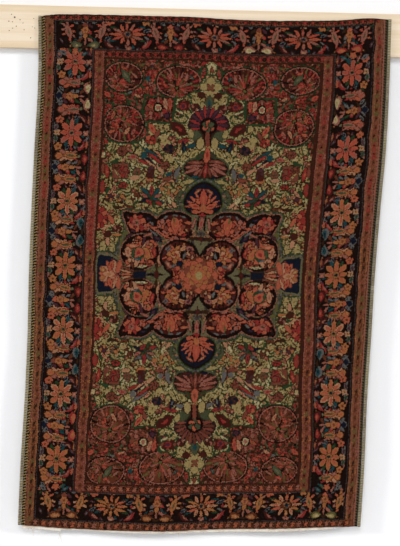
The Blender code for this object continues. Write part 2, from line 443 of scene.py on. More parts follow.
# Border runs: the line they follow, which way the buds look, how much their motifs are drawn out, and the
# places of the rosettes, of the flowers with the wool of their buds, and of the palmettes
runs = {
    "left": {"line": 12.3, "inwards": 1, "long": 1.0,
             "rosettes": (17.5, 43.9, 69.2, 93.1, 116.8, 140.3, 164.3),
             "flowers": ((30.4, "cream"), (56.6, "crimson"), (80.4, "teal"), (105.6, "crimson"),
                         (128.2, "teal"), (152.2, "coral")),
             "palmettes": (25.2, 35.4, 52.2, 61.0, 75.8, 85.3, 101.0, 110.0, 123.4, 132.8, 148.2, 156.4,
                           171.6)},
    "right": {"line": 114.6, "inwards": -1, "long": 1.0,
              "rosettes": (20.0, 48.6, 72.4, 95.5, 117.6, 139.7, 163.5),
              "flowers": ((34.2, "cream"), (60.8, "crimson"), (83.2, "teal"), (106.6, "crimson"),
                          (128.3, "teal"), (151.7, "crimson")),
              "palmettes": (28.9, 39.8, 56.6, 65.0, 79.2, 87.6, 102.4, 110.8, 124.1, 132.6, 147.5, 155.5,
                            171.2)},
    "top": {"line": 7.2, "inwards": 1, "long": 1.32,
            "rosettes": (31.8, 63.7, 95.5),
            "flowers": ((16.2, "sage"), (47.6, "crimson"), (79.6, "cream"), (113.0, "coral")),
            "palmettes": (10.0, 22.4, 42.0, 53.2, 73.8, 85.6, 107.2, 118.8)},
    "bottom": {"line": 181.0, "inwards": 1, "long": 1.28,
               "rosettes": (33.5, 66.4, 98.7),
               "flowers": ((15.8, "amber"), (49.9, "amber"), (82.6, "amber"), (114.0, "gold")),
               "palmettes": (9.8, 22.0, 43.6, 56.0, 76.8, 88.4, 107.8, 120.0)},
}


def paired(axis, *row):
    # a row and its mirror image on the other side of axis
    kind, x, y, length, width, turn, *dyes = row
    return row, (kind, 2 * axis - x, y, length, width, 180 - turn, *dyes)


# Motif rows: kind, along, across (+ is where the buds are), length, width, turn, wool, and where they have
# them the wools of their edge and heart
rosetteRows = (
    # dark leaves between the petals, then each petal in two wools
    ("leaf", 3.5, 1.7, 3.4, 1.3, 24, "forest"), ("leaf", -3.5, 1.7, 3.4, 1.3, -24, "teal"),
    ("leaf", 3.5, -1.7, 3.4, 1.3, -24, "teal"), ("leaf", -3.5, -1.7, 3.4, 1.3, 24, "forest"),
    *paired(0, "petal", 2.0, 2.2, 4.2, 2.0, 48, "peach", "soot"),
    ("petal", 2.0, -2.2, 4.2, 2.0, -48, "amber", "soot"),
    ("petal", -2.0, -2.2, 4.2, 2.0, 228, "peach", "soot"),
    ("leaf", 0.0, 2.6, 3.4, 1.7, 90, "amber", "soot"), ("leaf", 0.0, -2.6, 3.4, 1.7, -90, "peach", "soot"),
    ("petal", 2.9, 0.0, 4.4, 1.8, 0, "peach", "soot"), ("petal", -2.9, 0.0, 4.4, 1.8, 180, "amber", "soot"),
    *paired(0, "leaf", 1.9, 2.1, 3.2, 1.2, 48, "coral"),
    *paired(0, "leaf", 1.9, -2.1, 3.2, 1.2, -48, "coral"), ("leaf", 0.0, 2.4, 2.6, 1.0, 90, "coral"),
    ("leaf", 0.0, -2.4, 2.6, 1.0, -90, "coral"), *paired(0, "leaf", 2.8, 0.0, 3.4, 1.0, 0, "coral"),
    ("flower8", 0.0, 0.0, 3.2, 3.0, 0, "brick"), ("flower8", 0.0, 0.0, 2.3, 2.3, 22, "amber"),
    ("flower6", 0.0, 0.0, 1.7, 1.8, 0, "olive"), ("oval", 0.0, 0.0, 0.8, 1.2, 0, "night"),
)
# The rosettes of the top and bottom runs: thin flames, three to a side
flameRows = (
    ("leaf", 3.4, 2.0, 3.4, 1.2, 20, "forest"), ("leaf", -3.4, 2.0, 3.4, 1.2, -20, "teal"),
    ("leaf", 3.4, -2.0, 3.4, 1.2, -20, "teal"), ("leaf", -3.4, -2.0, 3.4, 1.2, 20, "forest"),
    ("leaf", 2.5, 1.3, 3.6, 1.0, 16, "amber", "soot"), ("leaf", -2.5, 1.3, 3.6, 1.0, 164, "coral", "soot"),
    ("leaf", 2.5, -1.3, 3.6, 1.0, -16, "coral", "soot"),
    ("leaf", -2.5, -1.3, 3.6, 1.0, 196, "amber", "soot"),
    *paired(0, "leaf", 3.0, 0.0, 4.0, 1.1, 0, "peach", "soot", "coral"),
    *paired(0, "leaf", 1.5, 2.3, 3.4, 1.2, 62, "peach", "soot", "coral"),
    ("leaf", 1.5, -2.3, 3.4, 1.1, -62, "amber", "soot", "coral"),
    ("leaf", -1.5, -2.3, 3.4, 1.2, 242, "peach", "soot", "coral"),
    ("leaf", 0.0, 2.8, 3.0, 1.1, 90, "amber", "soot", "peach"),
    ("leaf", 0.0, -2.7, 3.0, 1.1, -90, "coral", "soot", "amber"),
    ("flower8", 0.0, 0.0, 2.9, 2.9, 0, "rust", "umber"), ("flower6", 0.0, 0.0, 1.9, 2.0, 22, "amber"),
    ("flower6", 0.0, 0.0, 1.4, 1.5, 0, "teal"), ("oval", 0.0, 0.0, 0.8, 1.0, 0, "night"),
)
# Their palmettes: a slanting bud in a fringe
fringeRows = (
    ("leaf", 2.5, -4.6, 2.6, 1.1, 40, "slate", None, "night"),
    ("leaf", -2.6, -4.2, 2.4, 0.9, -40, "forest"), ("leaf", 2.6, 2.8, 2.8, 1.1, -70, "teal"),
    ("leaf", -2.6, 2.8, 2.6, 1.0, 65, "plum", None, "slate"),
    ("leaf", 1.7, -1.0, 2.2, 0.8, 20, "peach", "soot"), ("leaf", 1.8, 0.6, 2.0, 0.8, 48, "rose", "soot"),
    ("leaf", -1.6, 0.2, 2.2, 0.8, 160, "peach", "soot"),
    ("leaf", -1.9, -1.5, 2.2, 0.8, 185, "amber", "soot"),
    ("leaf", -1.5, -3.2, 2.4, 0.8, 215, "rose", "soot"),
    ("leaf", 1.1, -3.0, 2.2, 0.8, -30, "coral", "soot"),
    ("leaf", -0.5, -4.2, 2.4, 0.9, 250, "amber", "soot"), ("leaf", 0.5, 2.4, 2.4, 0.8, 84, "coral", "soot"),
    ("leaf", 0.0, -0.8, 6.0, 2.4, 72, "amber", "soot", "rust"), ("leaf", 0.0, -0.8, 4.2, 1.0, 72, "amber"),
    ("leaf", 0.0, -0.8, 2.8, 0.6, 72, "moss"), ("oval", 0.9, 3.4, 0.9, 0.9, 0, "sage", "soot"),
)
besideRosette = (
    ("sickle", 3.6, 4.9, 6.0, 1.3, -50, "slate"), ("sickle", -3.6, 4.9, 6.0, 1.3, 50, "moss"),
    ("flower4", 0.0, -5.4, 2.6, 2.8, 45, "peach", "soot", "olive"),
    ("flower4", 0.2, 5.3, 2.5, 2.6, 45, "rose", "soot", "peach"),
    ("leaf", 2.0, -5.8, 2.2, 1.0, 10, "forest", "slate"),
    ("leaf", -2.1, -5.8, 2.6, 0.9, 165, "plum", "slate"),
    *paired(0, "leaf", 2.7, 5.4, 2.6, 0.9, -50, "plum", None, "slate"),
    ("flower5", 4.9, -4.7, 2.9, 3.0, 40, "amber", "soot", "coral"),
    ("flower5", -4.9, -4.7, 2.9, 3.0, -40, "coral", "soot", "amber"),
    *paired(0, "oval", 4.9, -4.7, 0.8, 0.8, 0, "rust"),
    ("curl", 4.8, 3.9, 4.8, 1.5, -40, "crimson", "soot", "rose"),
    ("curl", -4.8, 3.9, 4.8, 1.5, 40, "wine", "soot", "rose"),
    ("leaf", 4.4, 5.9, 3.2, 1.0, -4, "coral", "soot"),
    ("leaf", -4.6, 6.0, 4.0, 0.9, 4, "brick", "soot", "amber"),
    ("sickle", 2.4, 6.4, 3.0, 0.5, 170, "slate"), ("leaf", 3.4, -6.3, 1.6, 0.6, 0, "rose"),
    ("leaf", -3.3, -6.4, 1.6, 0.6, 0, "slate"), ("leaf", 1.4, 4.4, 1.4, 0.8, 60, "teal"),
    ("leaf", 5.4, 1.5, 1.8, 0.7, 30, "slate"), ("leaf", -5.4, 1.5, 1.8, 0.7, -30, "night", "slate"),
    ("leaf", 5.4, -1.4, 1.9, 0.7, -25, "night", "slate"),
    ("leaf", -5.4, -1.4, 1.8, 0.7, 25, "plum", None, "rose"), ("flower4", 5.9, 0.1, 1.1, 1.2, 0, "crimson"),
    ("flower4", -5.8, 0.1, 1.1, 1.2, 0, "rust", None, "rose"),
)
palmetteRows = (
    ("leaf", 2.5, -4.6, 2.6, 1.1, 40, "slate", None, "night"),
    ("leaf", -2.6, -4.2, 2.4, 0.9, -40, "forest"), ("leaf", 2.8, 2.6, 3.0, 1.2, -70, "teal"),
    ("leaf", -2.8, 2.8, 2.6, 1.0, 65, "plum", None, "slate"),
    ("palmette", 0.0, -1.1, 8.0, 4.2, 84, "peach", "soot"), ("palmette", 0.0, -1.3, 7.0, 3.2, 84, "coral"),
    ("petal", 0.1, -4.2, 2.6, 2.2, -96, "amber", "rust", "coral"),
    ("petal", -1.3, -3.0, 2.6, 1.1, -120, "rose", "rust"),
    ("petal", 1.3, -2.8, 2.6, 1.1, -64, "peach", "rust"), ("leaf", 0.0, 0.2, 5.4, 2.0, 86, "amber", "rust"),
    ("leaf", 0.0, 0.2, 3.8, 0.9, 86, "moss"), ("leaf", -1.3, 1.4, 2.6, 0.7, 108, "rose"),
    ("leaf", 1.2, 1.6, 2.4, 0.7, 70, "crimson"), ("oval", 0.2, 3.0, 1.1, 1.1, 0, "sage", "soot"),
)
flowerRows = (
    ("leaf", 0.0, -5.3, 3.0, 2.6, 90, "night", "slate"),
    *paired(0, "leaf", -1.6, -5.2, 3.2, 0.6, 40, "slate"),
    ("leaf", 2.0, -3.0, 2.8, 1.0, 40, "plum", "soot"), ("leaf", -2.0, -3.0, 2.8, 1.0, 140, "umber"),
    ("petal", 0.0, -2.9, 2.8, 2.0, -90, "coral", "soot"),
    ("petal", -1.2, -0.7, 2.8, 1.4, 140, "slate", "soot", "rose"),
    ("petal", 1.4, -0.7, 2.8, 1.4, 35, "crimson", "soot", "rose"),
    ("petal", 0.0, 0.3, 3.6, 1.5, 90, "amber", "soot"),
    ("flower6", 0.0, -1.5, 2.8, 2.8, 0, "amber", "rust", "brick"),
    ("leaf", 2.0, 1.4, 2.8, 1.0, 60, "teal", "soot"), ("leaf", -1.8, 1.6, 2.4, 0.9, 120, "slate", "soot"),
    ("leaf", 0.0, 3.1, 2.6, 0.7, 90, "rose"),
)
budRows = (
    # the buds' own wools are named when they are drawn
    ("leaf", 2.0, 3.4, 3.4, 1.1, 34, "rose", "soot"), ("leaf", -2.0, 3.4, 3.4, 1.1, 146, "rust", "soot"),
    ("leaf", 0.0, 5.8, 2.4, 0.8, 0, "umber"), *paired(0, "bud", 3.0, 5.0, 4.7, 2.7, 176, "edge", "soot"),
    *paired(0, "bud", 2.9, 5.3, 3.5, 1.7, 176, "bud", None, "wool"),
    *paired(0, "leaf", 5.6, 5.6, 1.8, 0.8, 20, "umber", None, "amber"),
)
runEndRows = (
    # fillers where a side run meets those of the top and bottom
    ("leaf", 0.0, -4.6, 3.4, 1.5, 60, "slate", None, "night"),
    ("leaf", 0.4, 3.6, 3.2, 1.4, -60, "teal", None, "slate"),
    ("flower5", -0.4, 0.2, 2.6, 3.0, 0, "coral", "soot", "amber"),
    ("leaf", 0.6, -2.2, 2.8, 0.8, 30, "rose"), ("leaf", 0.4, 5.6, 2.2, 0.9, 20, "plum", None, "rose"),
    ("leaf", -0.8, 2.2, 2.2, 0.8, -30, "moss"), ("flower4", 0.6, -6.0, 1.4, 1.4, 0, "rose"),
    ("leaf", -1.0, -3.0, 2.0, 0.7, 0, "brick"),
)
# The wools of a bud's edge and heart, by the wool of the bud
budWools = {"cream": ("rose", "gold"), "sage": ("moss", "gold"), "teal": ("slate", "night"),
            "coral": ("crimson", "amber"), "crimson": ("wine", "coral"), "amber": ("rust", "peach"),
            "gold": ("olive", "cream")}
# The redder dye lot of the upper end
redder = {"amber": "rose", "coral": "scarlet", "peach": "coral", "brick": "crimson"}


def drawRun(chart, run, down):
    side, ends = float(run["inwards"]), (175.2, 14.2)
    turned = ((0.0, 1.0), (side, 0.0)) if down else ((1.0, 0.0), (0.0, side))

    def at(along):
        target = (run["line"], along) if down else (along, run["line"])
        return Placement((0.0, 0.0), target, *turned)

    def stretched(rows):
        # wider apart along the run, and longer where a motif lies along it
        share = run["long"]
        return [(kind, u * share, v, length * (share if abs(math.cos(math.radians(turn))) > 0.7 else 1.0),
                 wide, turn, *dyes) for kind, u, v, length, wide, turn, *dyes in rows]

    def lot(along, other=None):
        upper = along < 50.0 if down else run["line"] < fieldPlan["middle"]
        return [redder if upper else other]

    for number, along in enumerate(run["palmettes"]):
        palmette = at(along)
        if number % 2:
            palmette.along = (-palmette.along[0], -palmette.along[1])
        drawRows(chart, palmetteRows if down else fringeRows, [palmette], lot(along))
    for number, along in enumerate(run["rosettes"]):
        drawRows(chart, stretched(besideRosette), [at(along)])
        drawRows(chart, stretched(rosetteRows if down else flameRows), [at(along)],
                 lot(along, None if number % 3 else {"peach": "amber", "rose": "coral"}))
    if down:
        drawRows(chart, runEndRows, [at(along) for along in ends])
    for number, (along, wool) in enumerate(run["flowers"]):
        cooler = None if number % 2 else {"coral": "brick", "teal": "forest"}
        drawRows(chart, flowerRows, [at(along)], [cooler])
        edge, heart = budWools[wool]
        buds = at(along)
        buds.pivot = (0.0, 0.0 if down else 0.9)
        drawRows(chart, budRows, [buds], [{"bud": wool, "wool": heart, "edge": edge}])


def drawBorders(chart):
    wide, high = chartSize["wide"], chartSize["high"]
    for wool, left, top, right, bottom in bands:
        chart.box(left, top, wide - right, high - bottom, wool)
    drawDogTooth(chart)
    drawGuards(chart)
    # the ground between the guards; its corners belong to the top and bottom runs
    inner = {"left": 18.75, "top": 12.55, "right": wide - 19.85, "bottom": high - 13.35}
    outer = {"left": 5.7, "top": 2.75, "right": wide - 6.05, "bottom": high - 3.55}
    opposite = {"left": "right", "right": "left", "top": "bottom", "bottom": "top"}
    for name, run in runs.items():
        down = name in ("left", "right")
        zone = dict(outer)
        zone[opposite[name]] = inner[name]
        if down:
            zone["top"], zone["bottom"] = inner["top"], inner["bottom"]
        chart.within(zone["left"], zone["top"], zone["right"], zone["bottom"])
        drawRun(chart, run, down)


def mirrored(across, down):
    # the upper left part of the field and its images to the right and below
    centre = (fieldPlan["axis"], fieldPlan["middle"])
    return [Placement(centre, centre, (sx, 0.0), (0.0, sy)) for sy in down for sx in across]


quarters = mirrored((1.0, -1.0), (1.0, -1.0))
halves = mirrored((1.0,), (1.0, -1.0))
sides = mirrored((1.0, -1.0), (1.0,))

# Edge of the golden field in its upper left quarter, from the axis outwards
fieldEdge = ((62.8, 16.0), (60.6, 17.6), (60.8, 21.4), (59.0, 24.6), (59.6, 27.0), (56.2, 28.0),
             (53.0, 29.8), (49.8, 30.2), (50.2, 34.0), (49.0, 38.8), (45.0, 39.8), (40.6, 39.2),
             (40.4, 43.6), (38.0, 46.0), (33.0, 47.4), (28.6, 47.0), (26.6, 46.0), (25.0, 50.4),
             (24.0, 51.0))
# What fills the ground: share of the draws, kind, length, width and the wools
fieldFill = (
    (0.15, "curl", 3.4, 0.8, "forest"), (0.07, "sickle", 3.0, 0.5, "olive"),
    (0.10, "curl", 3.8, 1.2, "gold", "forest", "cream"), (0.09, "curl", 3.0, 0.8, "umber"),
    (0.07, "flower5", 2.3, 2.1, "brick", "umber", "peach"),
    (0.07, "flower4", 2.0, 2.0, "rust", "umber", "gold"),
    (0.12, "curl", 3.4, 1.3, "gold", "umber", "peach"),
    (0.12, "petal", 2.9, 1.3, "gold", "forest", "cream"), (0.07, "curl", 3.0, 0.8, "moss"),
    (0.05, "bud", 2.5, 1.6, "rose", "umber", "crimson"),
    (0.05, "flower5", 2.0, 2.0, "plum", "umber", "coral"), (0.04, "curl", 2.8, 0.8, "wine"),
)
cornerFill = (
    (0.14, "curl", 3.4, 0.9, "crimson", "umber"), (0.12, "sickle", 3.2, 0.7, "wine"),
    (0.13, "flower5", 2.6, 2.4, "crimson", "umber", "rose"),
    (0.10, "flower4", 2.4, 2.4, "brick", "umber", "rose"), (0.10, "curl", 3.0, 0.9, "brick", "umber"),
    (0.09, "leaf", 2.6, 0.8, "moss", "umber"), (0.10, "flower5", 2.2, 2.2, "scarlet", "wine", "wine"),
    (0.08, "curl", 3.0, 0.6, "forest"), (0.06, "leaf", 2.2, 1.0, "rose", "umber"),
    (0.05, "flower4", 1.5, 1.5, "sage", "umber", "umber"), (0.03, "curl", 3.4, 0.8, "umber"),
)
scrollFill = (
    (0.26, "curl", 1.8, 0.5, "rust"), (0.20, "flower4", 1.1, 1.1, "brick", None, "umber"),
    (0.14, "curl", 1.6, 0.4, "brick"), (0.12, "curl", 1.5, 0.4, "wine"),
    (0.09, "flower4", 1.0, 1.0, "olive"), (0.08, "flower4", 0.9, 0.9, "rose"),
    (0.06, "leaf", 1.1, 0.5, "peach"), (0.05, "leaf", 1.3, 0.5, "soot"),
)
dotFill = (
    (0.18, "curl", 1.3, 0.4, "crimson"), (0.16, "flower4", 0.9, 0.9, "brick"),
    (0.14, "curl", 1.3, 0.4, "forest"), (0.12, "leaf", 0.9, 0.5, "rose"), (0.10, "curl", 1.2, 0.4, "moss"),
    (0.08, "flower4", 0.8, 0.8, "coral"),
)
lineFill = (
    (0.22, "curl", 1.7, 0.35, "olive"), (0.14, "curl", 1.5, 0.4, "forest"),
    (0.12, "flower4", 0.9, 0.9, "brick"), (0.12, "leaf", 1.2, 0.4, "amber"),
    (0.12, "curl", 1.3, 0.4, "umber"), (0.14, "leaf", 1.1, 0.6, "cream"),
)
veinFill = (
    (0.24, "curl", 1.9, 0.34, "olive"), (0.26, "curl", 1.8, 0.34, "umber"),
    (0.18, "curl", 1.6, 0.34, "forest"), (0.12, "leaf", 1.0, 0.4, "rust"),
    (0.12, "curl", 1.6, 0.4, "cream"),
)
goldFill = (
    (0.34, "sickle", 4.4, 0.9, "gold", "forest"), (0.26, "curl", 5.0, 0.8, "gold", "umber"),
    (0.14, "curl", 3.6, 1.0, "cream", "forest"), (0.12, "leaf", 4.0, 0.9, "peach", "umber", "crimson"),
    (0.08, "flower5", 1.8, 1.8, "brick", "umber", "peach"),
)
patinaFill = (
    (0.18, "leaf", 2.2, 1.0, "smoke"), (0.26, "curl", 2.0, 0.7, "moss"), (0.20, "leaf", 2.0, 1.0, "olive"),
    (0.22, "curl", 1.6, 0.5, "umber"), (0.10, "leaf", 1.4, 0.5, "amber"),
)


def fillGround(chart, fill, seed, pitch, bottom=fieldPlan["middle"], top=fieldPlan["top"],
               right=fieldPlan["axis"], onto=None):
    # a staggered net of small motifs from the upper left corner on, drawn by seeded dice and mirrored to the
    # four quarters, on all that is open or only onto some wools
    dice = random.Random(seed)
    stray, lineShare = 0.32, 0.82
    free = chart.open
    if onto:
        chart.open = free & np.isin(chart.knots, [chart.number[wool] for wool in onto])
    line = 0
    y = top
    while y < bottom:
        x = fieldPlan["left"] + (pitch / 2 if line % 2 else 0.0)
        line += 1
        while x < right:
            spot = (x + dice.uniform(-stray, stray) * pitch, y + dice.uniform(-stray, stray) * pitch)
            draw, turn = dice.random(), dice.uniform(0.0, 360.0)
            for share, kind, length, width, *dyes in fill:
                draw -= share
                if draw < 0.0:
                    drawRows(chart, [(kind, *spot, length, width, turn, *dyes)], quarters, lowerTeal)
                    break
            x += pitch
        y += pitch * lineShare
    chart.open = free


# The lower quarters have slate for teal
lowerTeal = (None, None, {"teal": "slate"}, {"teal": "slate"})
# Named motifs of the field's upper left quarter
fieldRows = (
    # dark scroll leaves along the corner's edge
    ("curl", 36.0, 47.2, 6.0, 1.4, 175, "forest"), ("curl", 43.2, 38.8, 6.4, 1.5, 175, "forest"),
    ("curl", 50.0, 31.0, 5.6, 1.3, 100, "forest"), ("curl", 28.6, 53.6, 4.4, 1.5, -25, "forest"),
    # teal and crimson cross flower
    ("flower8", 43.2, 66.6, 6.4, 6.0, 0, "forest"), ("leaf", 41.0, 64.8, 4.8, 1.3, 38, "teal", "umber"),
    ("leaf", 45.4, 64.8, 4.6, 1.3, 142, "teal", "umber"),
    ("leaf", 43.2, 64.4, 4.4, 1.3, 90, "crimson", "umber", "plum"),
    ("leaf", 40.8, 66.4, 3.6, 1.0, 35, "rose", "umber", "crimson"),
    ("leaf", 45.8, 66.4, 3.2, 1.0, -15, "rose", "umber"),
    ("leaf", 40.8, 68.0, 4.6, 1.0, -18, "night", "umber"),
    ("curl", 46.0, 67.8, 5.6, 1.1, 18, "teal", "umber"),
    ("leaf", 42.6, 68.8, 3.2, 1.3, 40, "crimson", "umber", "plum"),
    ("leaf", 46.2, 69.0, 2.8, 1.3, 20, "crimson", "umber"),
    ("leaf", 44.3, 69.6, 2.6, 1.0, 80, "forest", "umber"),
    # slanted blue and red fan
    ("leaf", 42.2, 50.8, 8.0, 1.6, 34, "teal", "umber"),
    ("leaf", 43.6, 52.4, 7.2, 1.0, 36, "crimson", "umber"), ("leaf", 41.4, 53.2, 7.4, 1.1, 38, "night"),
    ("leaf", 42.2, 54.6, 6.4, 0.9, 36, "peach", "umber"),
    ("leaf", 39.4, 53.8, 4.8, 1.0, 28, "crimson", "umber"), ("oval", 39.4, 51.4, 2.4, 2.4, 0, "teal"),
    # small named flowers
    ("rose6", 31.4, 50.2, 3.9, 3.4, 0, "brick", "umber"),
    ("flower4", 27.2, 50.0, 2.0, 2.0, 0, "olive", None, "umber"),
    ("palmette", 35.4, 52.0, 3.6, 2.2, 0, "rose", "umber", "crimson"),
    ("petal", 26.6, 48.6, 4.0, 1.9, -75, "gold", "forest", "cream"),
    ("petal", 28.6, 52.4, 3.6, 1.3, -15, "gold"),
    ("rose8", 53.2, 32.9, 5.4, 4.8, 0, "brick", "umber", "wine"),
    ("oval", 53.1, 32.8, 2.4, 2.2, 0, "crimson", "wine", "plum"),
    ("curl", 51.8, 35.2, 4.4, 0.8, 205, "cream", "forest"),
    ("rose5", 57.6, 33.4, 3.4, 2.8, 0, "wine", "umber", "rose"),
    ("leaf", 51.8, 41.4, 7.6, 3.8, 36, "wine", "umber", "crimson"),
    ("leaf", 51.2, 41.6, 5.6, 0.6, 36, "umber"),
    ("leaf", 42.0, 41.6, 4.6, 1.9, 58, "coral", "umber", "crimson"),
    ("leaf", 43.8, 43.6, 4.2, 1.4, -60, "brick", "umber"),
    ("rose5", 41.6, 45.8, 4.2, 3.2, 20, "crimson", "umber", "coral"),
    ("oval", 44.6, 46.2, 1.9, 1.8, 0, "olive", None, "umber"), ("petal", 46.8, 46.0, 5.6, 2.9, 62, "gold"),
    ("petal", 38.4, 46.6, 3.6, 1.7, 70, "cream", "forest", "umber"),
    ("petal", 47.4, 41.0, 3.4, 1.9, 85, "gold", "umber"), ("petal", 54.8, 36.0, 4.2, 2.2, 40, "gold"),
    ("petal", 57.8, 30.0, 4.4, 2.1, 55, "gold"),
    ("curl", 52.2, 37.6, 5.0, 1.3, 5, "gold", "forest", "cream"),
    ("curl", 54.4, 37.0, 3.6, 0.9, 240, "forest"), ("petal", 51.2, 43.8, 3.2, 1.1, 50, "gold", "forest"),
    ("rose6", 48.8, 49.0, 4.0, 3.4, 0, "plum", "umber", "night"),
    ("leaf", 54.0, 45.8, 5.2, 1.5, -10, "crimson", "umber", "plum"),
    ("leaf", 54.4, 48.6, 5.4, 1.6, 75, "night", "umber", "teal"),
    ("leaf", 57.4, 47.4, 4.4, 1.4, -15, "teal", "umber"),
    ("petal", 54.4, 51.4, 4.4, 1.5, -55, "gold", "forest"), ("petal", 49.2, 52.4, 3.6, 1.8, 60, "gold"),
    ("rose5", 47.6, 54.8, 3.6, 3.2, 0, "brick", "umber"),
    ("palmette", 42.0, 60.0, 4.4, 3.2, 0, "amber", "umber", "coral"),
    ("rose5", 42.4, 57.8, 5.0, 2.6, -90, "plum", "umber", "wine"),
    ("rose6", 37.2, 57.8, 3.4, 2.8, 0, "brick", "forest"),
    ("petal", 36.6, 60.0, 3.6, 1.6, 0, "peach", "forest"),
    ("leaf", 48.8, 60.0, 4.2, 1.3, 0, "brick", "umber"),
    ("fan5", 48.4, 63.4, 5.6, 4.6, 55, "amber", "forest", "gold"),
    ("fan5", 52.0, 63.6, 5.4, 4.2, 35, "gold", "umber", "amber"),
    ("leaf", 51.4, 58.2, 3.4, 1.0, 60, "coral", "umber"), ("oval", 49.4, 58.2, 2.2, 1.6, 0, "teal"),
    ("petal", 46.0, 56.6, 4.0, 1.3, 40, "peach", "forest"),
    ("petal", 50.6, 68.2, 3.8, 1.9, 50, "cream", "forest"),
    ("leaf", 52.2, 69.8, 4.2, 1.2, 55, "peach", "umber"),
    ("fan5", 45.6, 72.0, 5.0, 5.4, 90, "gold", "forest"),
    ("rose6", 32.6, 62.6, 3.4, 2.2, 0, "crimson", "umber"), ("petal", 33.4, 60.8, 2.6, 0.7, 0, "cream"),
    ("rose5", 32.0, 67.4, 3.4, 2.8, 0, "amber", "umber", "slate"),
    ("rose5", 27.6, 67.6, 3.2, 3.0, 0, "plum", "umber", "amber"),
    ("rose5", 37.2, 66.6, 3.4, 2.6, 0, "rust", "umber", "cream"),
    ("curl", 31.0, 70.6, 5.6, 1.1, 0, "umber"), ("rose5", 35.8, 71.2, 3.0, 2.4, 0, "rust", "umber"),
    ("petal", 28.2, 70.8, 2.4, 1.6, 60, "gold"),
    # red islands at the side
    ("block", 31.2, 57.4, 5.8, 5.6, 0, "brick", "forest"),
    ("rose6", 32.6, 57.8, 3.4, 4.6, 0, "crimson", "wine", "brick"),
    ("rose5", 29.4, 56.0, 3.0, 2.6, 0, "brick", "umber", "rust"),
    ("leaf", 30.4, 58.6, 4.6, 0.7, 50, "gold"),
    ("leaf", 26.2, 57.6, 5.4, 1.7, 80, "crimson", "umber", "coral"),
    ("leaf", 24.6, 56.8, 4.6, 1.2, 90, "brick", "umber"),
    ("leaf", 24.8, 63.4, 5.4, 1.9, 90, "crimson", "umber", "brick"),
    ("leaf", 26.8, 64.8, 4.2, 1.2, 110, "forest"),
    # half rosette at the field's side edge
    ("rose12", 24.0, 74.8, 7.4, 9.0, 0, "crimson", "wine", "coral"),
    ("oval", 24.2, 75.0, 3.0, 3.6, 0, "crimson", "umber"),
    ("petal", 28.6, 75.4, 4.0, 1.6, 60, "coral", "umber"),
    ("curl", 31.0, 76.0, 6.4, 1.1, -40, "gold", "forest", "cream"),
    ("leaf", 27.0, 78.2, 4.4, 0.8, -30, "peach"), ("curl", 31.4, 80.6, 5.0, 1.0, 0, "amber", "forest"),
    # gold lilies above the side pendants
    ("leaf", 28.4, 88.0, 7.6, 2.6, 0, "moss"), ("petal", 26.4, 85.6, 4.4, 2.4, 105, "gold", "forest"),
    ("petal", 29.8, 86.0, 4.8, 2.8, 62, "gold", "forest"),
    ("petal", 28.2, 83.6, 3.2, 1.5, 90, "peach", "umber"),
    ("rose5", 31.0, 78.6, 3.2, 2.6, 0, "wine", "umber", "rose"),
    ("rose5", 28.0, 80.8, 2.8, 2.4, 0, "wine", "umber"),
)


# Its rings in shares of the way out to the rim, and for each leaf's length and width in cm the least and
# what each cm of that way adds
spray = {"rings": (0.30, 0.84, 0.58), "length": (0.9, 0.34), "width": (0.46, 0.05)}


def sprayRows(middle, size, focus, count, wools):
    # thin leaves in three rings, from one place out to the rim of an oval
    rows = []
    rx, ry = size[0] / 2, size[1] / 2
    dx, dy = focus[0] - middle[0], focus[1] - middle[1]
    for number in range(count):
        turn = 360.0 * number / count
        c, s = math.cos(math.radians(turn)), math.sin(math.radians(turn))
        # how far it is from the focus to the rim this way
        square = (c / rx) ** 2 + (s / ry) ** 2
        half = c * dx / rx ** 2 + s * dy / ry ** 2
        reach = (math.sqrt(half ** 2 - square * ((dx / rx) ** 2 + (dy / ry) ** 2 - 1.0)) - half) / square
        at = reach * spray["rings"][number % 3]
        length = spray["length"][0] + reach * spray["length"][1]
        width = spray["width"][0] + at * spray["width"][1]
        rows.append(("curl", focus[0] + c * at, focus[1] + s * at, length, width, turn,
                     wools[number % len(wools)]))
    return rows


